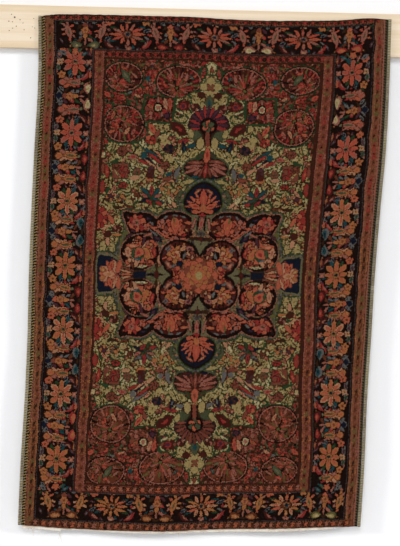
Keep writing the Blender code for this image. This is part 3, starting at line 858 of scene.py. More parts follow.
# Three round palmettes in each corner: middle, size, where their sprays begin and how many leaves they have
palmettes = (((31.6, 40.1), (13.6, 12.6), (31.4, 38.0), 81), ((51.0, 24.2), (15.4, 10.8), (50.4, 26.4), 81),
             ((30.6, 22.6), (13.0, 9.4), (28.6, 24.4), 66))
palmetteRims = ((2.3, "forest"), (1.7, "soot"), (0.9, "rose"), (0.1, "soot"), (-0.5, "wine"))
sprayWools = ("crimson", "umber", "brick", "scarlet", "soot", "rose", "crimson", "umber", "rust", "olive")
cornerRows = [
    # squarish rosette
    ("block", 44.2, 34.4, 11.6, 10.6, 0, "forest"), ("block", 44.2, 34.4, 10.2, 9.2, 0, "umber"),
    ("rose8", 43.8, 33.9, 10.0, 9.0, 0, "brick", "soot", "crimson"),
    ("leaf", 46.4, 32.4, 4.6, 1.4, 80, "peach", "umber", "rose"),
    ("leaf", 48.0, 32.2, 5.6, 1.5, 88, "scarlet", "umber", "brick"),
    ("leaf", 41.0, 33.2, 3.6, 1.1, 30, "scarlet", "umber", "olive"),
    ("leaf", 43.8, 31.0, 2.6, 0.9, 88, "rose", "umber"), ("oval", 43.8, 33.6, 3.6, 3.8, 0, "soot"),
    ("oval", 43.8, 33.6, 2.4, 2.6, 0, "cream", None, "rose"),
    ("leaf", 45.2, 36.3, 2.2, 0.9, 90, "rose", "umber"),
    ("oval", 47.2, 36.7, 2.6, 2.4, 0, "night", None, "plum"),
    ("rose6", 40.6, 36.5, 4.0, 3.4, 0, "crimson", "umber", "rose"),
    ("rose5", 43.2, 37.1, 2.8, 2.8, 0, "crimson", "umber", "wine"),
    ("leaf", 41.6, 30.9, 3.0, 1.2, 20, "crimson", "umber", "rose"),
    # leaf across the very corner, among fine dark scrolls
    ("leaf", 31.5, 28.6, 2.4, 1.0, 56, "moss", "forest", "sage"),
    ("oval", 25.2, 21.9, 1.2, 1.0, 0, "soot", "peach"),
    ("flower5", 27.8, 18.4, 2.0, 1.8, 0, "umber", "olive", "soot"),
    ("flower5", 35.9, 18.7, 2.2, 1.8, 0, "umber", "olive", "soot"),
    ("leaf", 33.8, 20.7, 1.8, 0.6, -70, "cream"), ("leaf", 37.2, 23.7, 1.6, 0.7, 60, "cream", "soot"),
    ("flower5", 28.3, 21.7, 1.2, 1.1, 0, "gold", "umber"),
    ("leaf", 30.4, 24.8, 2.4, 0.7, -5, "sage", "umber"),
    ("curl", 37.4, 21.4, 3.0, 1.1, 90, "wine", "umber", "brick"),
    ("leaf", 39.6, 23.2, 2.2, 1.6, 100, "teal", "umber"), ("leaf", 39.3, 24.2, 1.3, 0.6, 90, "sage"),
    ("rose5", 25.0, 23.6, 3.0, 2.4, 0, "scarlet", "umber", "crimson"),
    ("rose6", 28.6, 27.0, 4.4, 3.8, 0, "crimson", "umber", "scarlet"),
    ("oval", 28.6, 26.9, 1.3, 1.3, 0, "moss", "sage", "umber"),
    ("rose5", 35.9, 26.6, 3.6, 3.2, 0, "scarlet", "umber", "crimson"),
    ("leaf", 32.1, 25.9, 2.8, 1.8, 30, "scarlet", "umber", "brick"),
    ("leaf", 34.0, 27.0, 4.4, 0.9, 88, "crimson", "umber"), ("leaf", 34.8, 27.4, 3.6, 0.6, 88, "wine"),
    ("oval", 33.0, 28.2, 1.8, 1.4, 0, "slate", "umber"), ("leaf", 37.7, 26.6, 3.6, 1.0, 80, "forest"),
    ("rose5", 42.3, 22.9, 3.2, 3.0, 0, "scarlet", "umber", "crimson"),
    ("rose5", 42.9, 18.4, 2.4, 2.2, 0, "crimson", "forest", "scarlet"),
    ("leaf", 41.2, 18.4, 1.8, 1.0, 90, "plum"), ("rose5", 47.0, 18.3, 2.2, 2.0, 0, "rose", "umber"),
    ("leaf", 40.4, 21.0, 3.0, 1.2, 90, "crimson", "umber", "rose"),
    ("leaf", 43.5, 25.2, 2.6, 0.7, 75, "sage", None, "teal"),
    ("leaf", 24.9, 29.4, 3.0, 1.8, 40, "scarlet", "umber", "crimson"),
    ("rose5", 39.2, 27.3, 3.0, 2.6, 0, "scarlet", "umber", "brick"),
    ("rose5", 43.2, 27.4, 3.4, 2.8, 0, "wine", "umber", "rose"),
    ("rose5", 25.0, 34.2, 2.8, 3.4, 0, "crimson", "umber", "rose"),
    ("rose5", 28.9, 31.0, 3.0, 2.6, 0, "crimson", "umber", "rust"),
    ("oval", 24.9, 32.0, 1.0, 1.1, 0, "soot", "moss"),
    ("leaf", 33.3, 31.9, 2.2, 1.4, 0, "forest", None, "moss"),
    ("rose5", 41.0, 25.2, 2.2, 1.8, 0, "rose", "umber"),
    ("rose5", 51.6, 18.4, 2.2, 1.8, 0, "olive", "umber", "cream"),
    ("leaf", 55.4, 18.0, 3.6, 1.2, 0, "crimson", "umber", "rose"),
    ("curl", 27.6, 33.0, 3.6, 1.0, 20, "forest"),
    ("leaf", 36.0, 29.6, 2.4, 1.0, 30, "peach", "umber", "scarlet"),
]
cornerRows += [("oval", *middle, size[0] + more, size[1] + more, 0, wool)
               for more, wool in palmetteRims for middle, size, focus, count in palmettes]
for middle, size, focus, count in palmettes:
    cornerRows += sprayRows(middle, size, focus, count, sprayWools)
cornerRows += (
    # leaves in the round palmette beside the side edge
    ("oval", 31.4, 38.0, 2.0, 1.7, 0, "soot", None, "olive"),
    ("leaf", 27.4, 37.2, 3.6, 1.2, 100, "coral", "umber", "brick"),
    ("curl", 35.6, 37.4, 5.0, 1.1, 75, "crimson", "umber", "wine"),
    ("rose5", 28.3, 41.1, 3.4, 2.6, 20, "scarlet", "umber", "crimson"),
    ("leaf", 27.2, 42.9, 2.6, 1.1, -20, "coral", "umber"),
    ("leaf", 30.6, 42.6, 2.4, 0.6, 40, "sage", "umber"),
    ("leaf", 32.7, 42.6, 3.2, 1.2, -58, "peach", "umber", "scarlet"),
    ("leaf", 35.0, 43.0, 3.2, 1.0, -60, "rose", "umber", "crimson"),
    ("curl", 38.6, 35.4, 6.4, 0.9, 75, "forest"),
    # leaf across the one in the very corner, and those in the wide one beside it
    ("leaf", 31.5, 22.2, 6.4, 2.2, 56, "moss", "soot", "sage"),
    ("leaf", 34.6, 22.0, 3.0, 0.8, 40, "rose", "umber"),
    ("leaf", 27.6, 22.6, 3.0, 0.8, 70, "rose", "umber"),
    ("leaf", 31.0, 19.8, 2.4, 0.8, 10, "scarlet", "umber"),
    ("oval", 50.4, 26.4, 1.8, 1.6, 0, "soot", None, "olive"),
    ("leaf", 46.0, 25.6, 3.8, 1.2, 40, "crimson", "umber", "scarlet"),
    ("leaf", 47.4, 22.0, 3.2, 1.1, 60, "rose", "umber", "crimson"),
    ("leaf", 53.9, 22.5, 3.6, 1.1, 100, "rose", "umber"),
    ("leaf", 55.9, 22.6, 2.6, 0.9, 60, "teal", "umber", "sage"),
    ("leaf", 54.6, 25.2, 3.6, 0.7, -18, "sage", "umber"), ("leaf", 58.8, 20.0, 4.4, 1.0, 95, "forest"),
    ("curl", 53.6, 17.6, 4.6, 0.8, 5, "rose", "umber"),
)


def drawCorners(chart):
    # the crimson corner pieces outside the golden field, duller in the lower quarters
    swaps = (None, None,
             {"crimson": "brick", "coral": "brick", "wine": "rust", "amber": "gold", "forest": "umber"},
             {"crimson": "brick", "coral": "rust", "wine": "rust", "amber": "gold", "forest": "umber"})
    lowest, veryCorner = 52.0, ((24.0, 16.3), (38.6, 16.3), (38.8, 23.6), (34.0, 25.2), (24.0, 25.4))
    fillGround(chart, cornerFill, 21, 2.1, lowest)
    for placement in quarters:
        drawPatch(chart, veryCorner, "umber", 0.0, placement, rounded=False)
    fillGround(chart, scrollFill, 5, 1.15, 25.0, right=38.6)
    drawRows(chart, cornerRows, quarters, swaps)
    fillGround(chart, dotFill, 33, 1.15, lowest, onto=("umber",))


def drawField(chart):
    # the golden ground; it tells the knots that are inside it
    ground = np.zeros(chart.knots.shape, bool)
    middle = fieldPlan["middle"]
    for placement in quarters:
        corners = [*smooth(fieldEdge, False, 4), (fieldPlan["left"], middle), (fieldPlan["axis"], middle)]
        before = chart.knots.copy()
        drawPatch(chart, corners, "gold", placement=placement, rounded=False)
        ground |= chart.knots != before
    return ground


# Pendants on the axis above the medallion; mirrored below
axisRows = (
    ("flower5", 62.8, 18.6, 4.0, 3.6, -90, "cream", "forest", "brick"),
    ("oval", 62.8, 19.6, 2.2, 1.6, 0, "rust", None, "brick"),
    ("flower4", 62.8, 22.4, 2.2, 2.2, 45, "brick", "forest", "cream"),
    ("flower4", 62.8, 25.6, 7.6, 7.2, 0, "gold", "forest"),
    ("flower4", 62.8, 25.8, 3.2, 2.8, 45, "brick", "umber", "olive"),
    ("leaf", 62.8, 31.8, 6.2, 3.4, 90, "moss", "umber", "teal"),
)
axisPairs = (
    # left of the axis, mirrored to the right and below
    ("rose5", 59.6, 28.8, 2.7, 2.2, 0, "wine", "umber"),
    ("leaf", 60.6, 33.4, 4.6, 2.0, 70, "gold", "forest"), ("leaf", 58.6, 44.6, 3.2, 2.4, 60, "moss"),
    ("petal", 56.6, 43.0, 3.4, 1.6, 75, "gold", "forest", "sage"),
    ("petal", 60.0, 46.4, 4.8, 2.5, 82, "gold", "umber"), ("leaf", 57.6, 44.4, 2.8, 1.4, 30, "peach"),
    ("petal", 58.0, 50.8, 4.8, 1.9, -55, "gold", "forest", "olive"),
    ("curl", 57.8, 53.4, 5.0, 0.9, -40, "plum"), ("petal", 58.4, 60.9, 8.0, 1.5, -4, "gold", "forest"),
    ("curl", 52.9, 58.6, 7.0, 2.0, 95, "slate", "umber"),
    ("leaf", 53.8, 66.6, 5.6, 2.6, 100, "moss", "umber", "sage"),
)


# Striped fan round a ringed flower
stripedFanRows = (
    ("oval", 62.8, 39.6, 16.4, 12.2, 0, "cream"), ("oval", 62.8, 39.6, 15.8, 11.6, 0, "umber"),
    ("fan15", 62.8, 40.0, 14.8, 15.0, -90, "crimson", "night", "plum"),
    *paired(62.8, "leaf", 58.2, 43.6, 6.0, 3.4, 20, "moss", "forest"),
    *paired(62.8, "petal", 56.4, 43.0, 3.4, 1.8, 70, "gold", "forest"),
    ("oval", 62.8, 40.2, 6.6, 6.2, 0, "soot"), ("rose6", 62.8, 40.2, 4.8, 4.6, 30, "coral", "soot", "moss"),
    ("block", 62.8, 45.0, 2.6, 4.6, 0, "soot"), ("block", 62.8, 45.0, 1.5, 5.0, 0, "brick"),
    *paired(62.8, "petal", 60.1, 46.6, 4.6, 2.5, 95, "gold", "umber"),
)
# What lies in the cartouche below it
cartoucheRows = (
    *paired(62.8, "leaf", 58.8, 53.7, 6.4, 1.4, -4, "brick", "umber", "rose"),
    *paired(62.8, "leaf", 58.2, 55.2, 7.2, 1.2, -10, "rose", "wine", "brick"),
    *paired(62.8, "leaf", 57.9, 56.8, 6.8, 1.1, -24, "rose", "wine"),
    *paired(62.8, "leaf", 59.6, 57.6, 5.0, 1.0, -46, "rose", "wine", "brick"),
    ("leaf", 59.4, 59.1, 3.4, 0.9, 8, "teal", "night"), ("leaf", 66.2, 59.1, 3.4, 0.9, -8, "night"),
    *paired(62.8, "leaf", 61.4, 57.0, 4.4, 0.7, 110, "brick", "wine"),
    ("leaf", 62.8, 56.6, 6.0, 1.3, 90, "crimson", "wine", "rose"),
    *paired(62.8, "leaf", 60.4, 51.2, 4.6, 1.4, 128, "forest", "umber", "plum"),
    ("bud", 62.8, 50.6, 6.2, 2.6, -90, "coral", "wine", "crimson"),
    ("block", 62.8, 60.8, 3.0, 0.8, 0, "umber", None, "brick"),
)
cartoucheEdge = ((55.2, 56.1), (56.72, 53.58), (62.8, 52.6), (68.88, 53.58), (70.4, 56.1), (68.424, 58.62),
                 (62.8, 59.6), (57.176, 58.62))


def drawPendants(chart):
    swaps = (None, None, {"crimson": "brick", "teal": "plum"}, {"crimson": "brick", "teal": "plum"})
    drawRows(chart, axisRows, halves, (None, {"crimson": "brick"}))
    drawRows(chart, axisPairs, quarters, swaps)
    for placement, swap in zip(halves, (None, {"teal": "wine", "crimson": "brick", "plum": "rust"})):
        drawRows(chart, stripedFanRows, [placement], [swap])
        drawRings(chart, cartoucheEdge, ((1.25, "moss"), (0.55, "soot"), (0.0, "umber")), placement)
        drawRows(chart, cartoucheRows, [placement], [swap])


# Edge of the medallion in its upper left quarter, from the axis to the side
medallionEdge = ((62.8, 60.0), (59.6, 61.0), (56.8, 63.0), (55.0, 65.7), (54.3, 68.8), (54.8, 71.0),
                 (52.4, 71.4), (49.0, 72.0), (46.4, 73.6), (44.6, 72.9), (41.0, 72.0), (36.6, 71.8),
                 (33.0, 72.4), (33.0, 75.0), (33.8, 78.0), (33.6, 80.4), (32.4, 83.4), (31.6, 86.6),
                 (31.4, 88.0), (28.4, 88.0), (24.2, 88.3), (24.0, 95.4))
# Outlines of the ovals: beside the axis, and at the corner
axisOval = ((46.2, 77.6), (47.0, 74.8), (49.8, 73.1), (53.4, 72.7), (57.0, 73.6), (59.4, 76.0),
            (59.7, 79.0), (57.8, 81.2), (53.8, 82.2), (49.4, 81.0))
cornerOval = ((33.9, 73.2), (36.6, 73.3), (40.5, 73.2), (44.2, 74.4), (46.2, 76.6), (45.0, 79.0),
              (41.0, 79.9), (37.0, 79.9), (35.3, 77.4))
axisOvalRows = (
    ("fan7", 52.8, 79.4, 10.6, 9.4, -92, "coral", "soot", "brick"),
    ("fan5", 52.8, 77.4, 7.2, 5.6, 88, "scarlet", "soot", "coral"),
    ("bud", 53.0, 77.6, 6.4, 3.4, 88, "coral", "wine"),
    ("bud", 53.0, 77.9, 3.6, 1.7, 88, "scarlet", None, "amber"),
    ("leaf", 52.4, 75.4, 3.2, 0.8, 86, "olive"),
    ("rose5", 47.9, 76.6, 3.4, 3.6, 0, "rose", "soot", "coral"),
    ("leaf", 57.9, 76.1, 3.2, 1.2, 4, "coral", "soot", "amber"),
    ("flower4", 57.6, 78.9, 2.0, 1.8, 20, "rust", "soot", "peach"),
    ("leaf", 49.4, 79.8, 3.4, 0.8, 40, "rose", "soot"),
    ("leaf", 56.6, 80.6, 2.6, 0.8, -20, "crimson", "soot"),
    ("leaf", 52.8, 81.6, 2.6, 0.7, 0, "rose", "soot"), ("leaf", 55.8, 73.9, 2.2, 0.7, 20, "slate"),
    ("leaf", 52.8, 73.6, 2.2, 0.6, 0, "slate"), ("leaf", 49.4, 74.3, 2.2, 0.7, -40, "slate"),
)
cornerOvalRows = (
    ("rose9", 38.6, 76.4, 7.8, 6.4, 12, "coral", "soot", "crimson"),
    ("rose5", 38.2, 76.2, 3.2, 2.8, 0, "rose", "crimson"), ("oval", 38.2, 76.2, 1.0, 0.9, 0, "forest"),
    ("leaf", 36.4, 77.6, 3.0, 1.3, 40, "coral", "wine"),
    ("leaf", 42.6, 74.8, 2.9, 1.2, 12, "night", "soot", "plum"),
    ("oval", 43.9, 76.6, 2.2, 1.3, 20, "slate", "soot"),
    ("rose5", 42.6, 77.8, 3.4, 2.6, 0, "coral", "wine", "rose"),
    ("leaf", 45.2, 78.0, 3.0, 0.8, -4, "coral", "wine"),
    ("leaf", 35.2, 74.6, 1.8, 0.9, 60, "wine", "soot", "rose"), ("leaf", 37.4, 79.4, 2.0, 0.8, 10, "plum"),
)
sideOvalRows = (
    ("rose11", 40.2, 87.4, 12.0, 11.2, 12, "coral", "soot", "peach"),
    ("petal", 37.2, 84.9, 5.4, 1.6, -4, "coral", "wine", "peach"),
    ("petal", 35.8, 87.2, 4.2, 1.8, 80, "peach", "wine", "rose"), ("leaf", 37.4, 83.2, 3.2, 0.8, 8, "soot"),
    ("rose5", 39.0, 82.2, 2.8, 2.4, 0, "coral", "soot", "rust"),
    ("leaf", 41.5, 82.9, 4.8, 1.0, 106, "plum", "soot"),
    ("rose5", 44.2, 84.2, 4.2, 3.6, 0, "coral", "wine", "rose"),
    ("oval", 44.2, 84.2, 1.2, 1.1, 0, "amber", "soot"),
    ("petal", 42.7, 87.6, 5.2, 2.4, 62, "amber", "wine", "coral"),
    ("oval", 39.5, 87.7, 5.2, 5.2, 0, "forest"), ("curl", 38.9, 90.0, 4.4, 1.3, 180, "teal", None, "slate"),
    ("curl", 37.6, 87.0, 3.8, 0.7, 275, "moss"),
    ("bud", 39.6, 87.6, 4.4, 3.5, 130, "coral", "forest", "crimson"),
    ("leaf", 45.6, 87.0, 4.4, 1.3, 82, "crimson", "soot", "coral"),
    ("rose5", 36.5, 90.9, 3.8, 2.8, -30, "peach", "wine", "coral"),
    ("leaf", 37.6, 91.8, 2.6, 1.0, 75, "rust", "soot"),
    ("rose5", 43.9, 91.3, 3.2, 2.4, 0, "coral", "wine", "brick"), ("leaf", 41.2, 91.4, 3.4, 0.6, 4, "soot"),
    ("leaf", 41.4, 92.5, 4.4, 0.9, 0, "cream", "soot", "slate"), ("leaf", 34.8, 85.0, 1.4, 0.6, 30, "soot"),
    ("leaf", 35.0, 89.2, 1.8, 0.6, -20, "soot"),
)
medallionRows = (
    # between the ovals
    ("diamond", 46.3, 81.7, 4.8, 2.6, 40, "night", "soot", "plum"),
    ("leaf", 48.9, 85.4, 3.4, 0.9, 75, "peach", "rust"),
    ("leaf", 47.4, 90.6, 4.4, 0.9, 84, "peach", "rust"),
    ("leaf", 43.2, 80.6, 4.4, 0.7, -20, "rose", "rust"),
    ("leaf", 35.6, 81.2, 3.4, 0.8, -38, "plum", "soot"),
    ("leaf", 45.2, 80.0, 4.2, 0.7, 38, "slate", "soot"),
    ("leaf", 33.6, 92.6, 4.0, 1.6, 35, "olive", "umber", "sage"),
    ("leaf", 36.8, 93.6, 3.4, 0.6, 20, "slate"), ("leaf", 46.2, 79.2, 3.4, 0.6, 30, "rose"),
    ("leaf", 60.6, 78.4, 3.4, 0.9, -60, "peach", "rust"),
)
lobeRows = (
    # one of the four lobes round the middle
    ("rose8", 54.0, 88.0, 7.4, 6.8, 10, "amber", "soot", "coral"),
    ("rose5", 54.0, 88.0, 3.6, 3.4, 0, "peach", "rust", "amber"),
    ("oval", 54.0, 88.0, 1.2, 1.1, 0, "crimson"),
    ("flower4", 50.8, 85.8, 2.4, 2.2, 0, "slate", "rust", "cream"),
    ("petal", 56.6, 85.8, 2.6, 1.8, -40, "peach", "soot", "gold"),
    ("petal", 59.0, 85.8, 3.2, 1.9, 20, "rose", "soot", "plum"), ("oval", 57.0, 88.2, 3.2, 3.6, 0, "soot"),
    ("curl", 56.8, 88.3, 3.0, 0.9, 290, "slate"),
    ("rose5", 59.5, 88.0, 3.4, 3.2, 0, "brick", "soot", "peach"),
    ("curl", 53.0, 91.8, 3.4, 0.8, -12, "slate", "soot"),
    ("oval", 55.4, 91.3, 2.1, 2.0, 0, "night", "soot"),
    ("leaf", 51.2, 91.6, 3.6, 1.2, 50, "rose", "rust", "peach"),
    ("rose5", 58.4, 91.2, 3.6, 3.2, 0, "coral", "rust", "amber"),
    ("rose5", 54.5, 93.8, 3.0, 3.2, 0, "coral", "rust", "crimson"),
    ("leaf", 56.9, 94.0, 2.2, 1.3, 20, "slate", None, "teal"),
)
lobeWools = ("coral", "soot", "amber", "plum", "umber", "rose", "soot", "amber", "slate", "brick", "soot")
middleRows = (
    ("rose5", 54.8, 95.4, 3.4, 2.6, 180, "coral", "soot", "crimson"),
    # fleurs to the side, the bar and its fan
    ("leaf", 46.8, 95.4, 12.4, 0.6, 90, "umber"), ("leaf", 46.8, 91.9, 3.8, 1.3, 90, "umber"),
    ("leaf", 46.8, 98.9, 3.8, 1.3, 90, "umber"), ("leaf", 46.4, 95.4, 7.6, 1.0, 0, "soot"),
    ("leaf", 46.8, 95.4, 3.2, 1.6, 90, "wine", "umber"),
    ("block", 40.3, 95.4, 5.2, 2.5, 0, "night", "umber"),
    ("leaf", 35.4, 95.4, 5.8, 0.9, 180, "coral", "umber"),
    ("leaf", 35.4, 94.3, 6.2, 0.7, 190, "peach", "umber"),
    ("leaf", 35.4, 96.5, 6.2, 0.7, 170, "peach", "umber"),
    ("leaf", 35.6, 93.3, 6.2, 0.7, 198, "brick", "umber"),
    ("leaf", 35.6, 97.5, 6.2, 0.7, 162, "brick", "umber"),
    ("curl", 32.4, 92.6, 3.6, 1.4, 60, "night", None, "slate"),
    ("sickle", 32.4, 98.4, 3.6, 1.2, 120, "night", None, "slate"),
)
pendantFan = (
    ("fan9", 31.6, 95.4, 12.6, 10.8, 180, "coral", "brick", "peach"),
    ("leaf", 28.8, 95.4, 4.4, 2.4, 180, "peach", "coral", "amber"),
    ("leaf", 29.4, 92.4, 4.2, 1.8, 110, "coral", "wine", "crimson"),
    ("leaf", 29.4, 98.4, 4.2, 1.8, 250, "coral", "wine", "crimson"),
    ("leaf", 26.4, 94.0, 2.4, 1.4, 30, "amber", "brick", "gold"),
    ("leaf", 26.4, 96.8, 2.4, 1.4, -30, "amber", "brick"),
)
# The knob on the axis above the middle, the pointed cartouche over it and the pendants at the sides
knobRows = (
    ("leaf", 62.8, 82.0, 9.4, 1.6, 0, "umber", None, "night"), ("leaf", 62.8, 82.0, 5.4, 0.8, 90, "umber"),
    ("oval", 62.8, 82.0, 1.6, 1.6, 0, "wine"), *paired(62.8, "leaf", 59.6, 82.0, 3.0, 1.6, 0, "umber"),
)
pendantEdge = ((24.7, 89.0), (27.4, 88.9), (30.0, 89.2), (32.0, 90.6), (33.2, 92.6), (33.4, 95.4),
               (33.2, 98.2), (32.0, 100.2), (30.0, 101.6), (27.4, 101.9), (24.7, 101.8), (24.5, 95.4))
pointedEdge = ((62.8, 61.0), (59.6, 62.2), (57.0, 64.6), (55.9, 68.0), (57.0, 71.2), (60.0, 72.8),
               (65.6, 72.8), (68.6, 71.2), (69.7, 68.0), (68.6, 64.6), (66.0, 62.2))
pointedRows = (
    *paired(62.8, "leaf", 60.6, 64.4, 3.8, 1.2, -30, "brick", "soot", "peach"),
    ("leaf", 62.8, 62.8, 3.0, 1.6, 90, "night", "soot"),
    *(("leaf", 62.8 + 4.3 * math.cos(math.radians(turn)), 70.4 + 4.0 * math.sin(math.radians(turn)),
       5.0, 0.9, turn, "coral") for turn in (-172, -154, -136, -118, -62, -44, -26, -8)),
    ("fan7", 62.8, 71.0, 9.6, 8.4, -90, "coral", "soot", "scarlet"),
    *paired(62.8, "leaf", 59.8, 69.8, 4.6, 2.0, 20, "coral", "soot", "crimson"),
    ("leaf", 62.8, 67.2, 7.4, 2.8, 90, "scarlet", "soot", "coral"),
    ("leaf", 62.8, 70.6, 3.4, 2.0, 90, "amber", "brick", "coral"),
    # its tie to the middle of the medallion
    ("block", 62.8, 76.0, 7.4, 6.0, 0, "sage"), ("flower4", 62.8, 73.2, 2.6, 2.4, 0, "crimson", "soot"),
    ("leaf", 62.8, 76.2, 5.4, 1.6, 90, "rose", "wine", "crimson"),
    *paired(62.8, "block", 61.4, 76.2, 0.8, 5.0, 0, "soot"),
    *paired(62.8, "leaf", 60.0, 76.4, 5.0, 0.9, 100, "rose", "umber"),
)
# Rosette in the very middle
starRows = (
    ("rose8", 62.8, 95.4, 14.6, 13.2, 0, "coral", "rust"),
    ("rose8", 62.8, 95.4, 12.0, 10.8, 22.5, "brick", "rust", "coral"),
    ("rose8", 62.8, 95.4, 9.4, 8.6, 0, "amber", "brick"),
    ("rose8", 62.8, 95.4, 6.6, 6.0, 22.5, "coral", "brick", "amber"),
    ("flower8", 62.8, 95.4, 4.4, 4.0, 0, "amber", "coral"),
    ("oval", 62.8, 95.4, 2.6, 2.5, 0, "gold", "amber"),
)


def drawMedallion(chart):
    axis, middle = fieldPlan["axis"], fieldPlan["middle"]
    left = [*medallionEdge[:-1], *((x, 2 * middle - y) for x, y in medallionEdge[::-1])]
    whole = left + [(2 * axis - x, y) for x, y in left[-2:0:-1]]
    drawRings(chart, whole, ((0.7, "forest"), (0.3, "slate"), (-0.5, "sage")))
    fillGround(chart, patinaFill, 14, 1.1, top=60.0, onto=("sage", "slate"))
    # ovals beside the axis and at the corners, then the round ones at the sides
    for placement in quarters:
        for ring in ((1.2, "moss"), (0.95, "rose"), (0.7, "soot")):
            drawRings(chart, cornerOval, [ring], placement)
            drawRings(chart, axisOval, [ring], placement)
        drawPatch(chart, axisOval, "wine", -0.6, placement)
        drawRows(chart, axisOvalRows + cornerOvalRows, [placement])
        drawStem(chart, ((46.6, 78.8), (49.4, 81.3), (53.0, 82.3), (57.0, 81.7)), 0.45, "coral", placement)
        for grow, wool in ((1.3, "moss"), (1.1, "rose"), (0.85, "soot")):
            drawRow(chart, ("oval", 40.3, 87.2, 12.6 + 2 * grow, 11.8 + 2 * grow, 0, wool), placement)
        drawRows(chart, sideOvalRows + medallionRows, [placement])
    # the lobes round the middle
    for grow, wool in ((1.3, "rose"), (1.0, "soot"), (0.1, "wine")):
        drawRows(chart, [("oval", 54.7, 88.8, 12.0 + 2 * grow, 11.2 + 2 * grow, 0, wool)], quarters)
    drawRow(chart, ("oval", 62.8, 95.4, 18.0, 14.0, 0, "rust"))
    lobes = (*sprayRows((54.7, 88.8), (11.6, 10.8), (54.0, 88.2), 48, lobeWools), *lobeRows)
    drawRows(chart, lobes, quarters, [{"gold": "amber", "cream": "plum", "umber": "soot"}])
    # notches between the lobes
    for placement in quarters:
        drawPatch(chart, ((62.8, 81.0), (59.8, 82.6), (62.8, 87.6)), "sage", 0.0, placement, rounded=False)
        drawStem(chart, ((58.6, 83.2), (60.8, 85.2), (62.8, 88.5)), 0.9, "soot", placement)
        drawPatch(chart, ((46.6, 95.4), (49.0, 91.8), (52.4, 95.4)), "sage", 0.0, placement, rounded=False)
        drawStem(chart, ((49.2, 91.0), (50.4, 93.6), (53.0, 95.4)), 0.9, "soot", placement)
    drawRows(chart, knobRows, halves)
    for placement in sides:
        drawRings(chart, pendantEdge, ((0.7, "sage"), (0.0, "night")), placement)
    drawRows(chart, middleRows, sides)
    drawRows(chart, pendantFan, sides)
    for placement in halves:
        drawRings(chart, pointedEdge, ((0.6, "forest"), (0.2, "soot"), (-0.6, "night")), placement)
        drawRows(chart, pointedRows, [placement])
    drawRows(chart, starRows, [straight])


def smoothStep(start, end, value):
    share = np.clip((value - start) / (end - start), 0.0, 1.0)
    return share * share * (3.0 - 2.0 * share)


def readNet(net, y, x):
    # a coarse net of numbers, read smoothly between its knots
    j, i = y.astype(int), x.astype(int)
    v, u = smoothStep(0.0, 1.0, y - j), smoothStep(0.0, 1.0, x - i)
    upper = net[j, i] * (1 - u) + net[j, i + 1] * u
    lower = net[j + 1, i] * (1 - u) + net[j + 1, i + 1] * u
    return upper * (1 - v) + lower * v


# The weaver's hand: the size of the net of strays, how far knots stray with it and how far on their own
hand = {"rows": 40, "columns": 28, "reach": 0.7, "fray": 0.34}


def loosen(knots):
    # a weaver's wobble: rows and columns stray by a knot or so, slowly from place to place
    dice = np.random.default_rng(8)
    high, wide = knots.shape

    def stray():
        net = dice.normal(0.0, 1.0, (hand["rows"], hand["columns"]))
        down = np.linspace(0, hand["rows"] - 1.001, high)[:, None]
        across = np.linspace(0, hand["columns"] - 1.001, wide)[None, :]
        own = dice.normal(0.0, hand["fray"], knots.shape)
        return np.round(readNet(net, down, across) * hand["reach"] + own).astype(int)

    j = np.clip(np.arange(high)[:, None] + stray(), 0, high - 1)
    i = np.clip(np.arange(wide)[None, :] + stray(), 0, wide - 1)
    return knots[j, i]


def drawRug():
    chart = KnotChart()
    drawBorders(chart)
    chart.within(fieldPlan["left"], fieldPlan["top"], fieldPlan["right"], fieldPlan["bottom"])
    chart.box(0.0, 0.0, chartSize["wide"], chartSize["high"], "umber")
    inField = drawField(chart)
    plain = chart.knots.copy()
    # the golden field first, then the corner pieces, each over the whole ground
    fillGround(chart, fieldFill, 11, 2.3)
    fillGround(chart, goldFill, 71, 3.0)
    fillGround(chart, lineFill, 44, 1.7, onto=("gold",))
    drawRows(chart, fieldRows, quarters, lowerTeal)
    fillGround(chart, veinFill, 61, 1.6, onto=("gold", "cream"))
    golden = chart.knots.copy()
    chart.knots[:] = plain
    drawCorners(chart)
    chart.knots[:] = np.where(inField, golden, chart.knots)
    for placement in quarters:
        drawStem(chart, fieldEdge[1:-1], 0.5, "forest", placement)
    drawPendants(chart)
    drawMedallion(chart)
    chart.knots[:] = loosen(chart.knots)
    # the cords' teeth stay straight
    chart.within(0.0, 0.0, chartSize["wide"], chartSize["high"])
    drawDogTooth(chart)
    return chart.knots


rail = {"depth": 0.022, "height": 0.160}
# The sheet: how thick it is, its gap to the rail and below it, and the faces and knots of its mesh
hang = {"pile": 0.006, "gap": 0.0003, "clear": 0.002, "columns": 176, "rows": 260, "knotsPerFace": 3}
# Its edges and waves in metres, places across and down in shares of the pile
sideRows = (
    # down, left edge, right edge
    (0.000, -0.640, 0.642), (0.125, -0.635, 0.640), (0.250, -0.642, 0.634), (0.375, -0.648, 0.618),
    (0.500, -0.651, 0.604), (0.625, -0.651, 0.596), (0.750, -0.655, 0.586), (0.875, -0.664, 0.582),
    (1.000, -0.669, 0.573),
)
endRows = (
    # across, top edge, bottom edge
    (0.00, 0.040, -1.843), (0.04, 0.047, -1.847), (0.13, 0.050, -1.853), (0.30, 0.050, -1.856),
    (0.43, 0.050, -1.854), (0.54, 0.045, -1.846), (0.65, 0.043, -1.839), (0.77, 0.047, -1.834),
    (0.86, 0.051, -1.827), (0.94, 0.061, -1.823), (1.00, 0.059, -1.819),
)
waveRows = (
    # across at the top, across at the bottom, half width, forward, down where it starts
    (-0.02, 0.00, 0.10, 0.005, 0.20), (0.22, 0.17, 0.11, -0.005, 0.15), (0.40, 0.37, 0.12, 0.006, 0.10),
    (0.58, 0.60, 0.11, -0.005, 0.12), (0.78, 0.80, 0.10, 0.006, 0.10), (1.00, 1.00, 0.08, 0.003, 0.25),
)
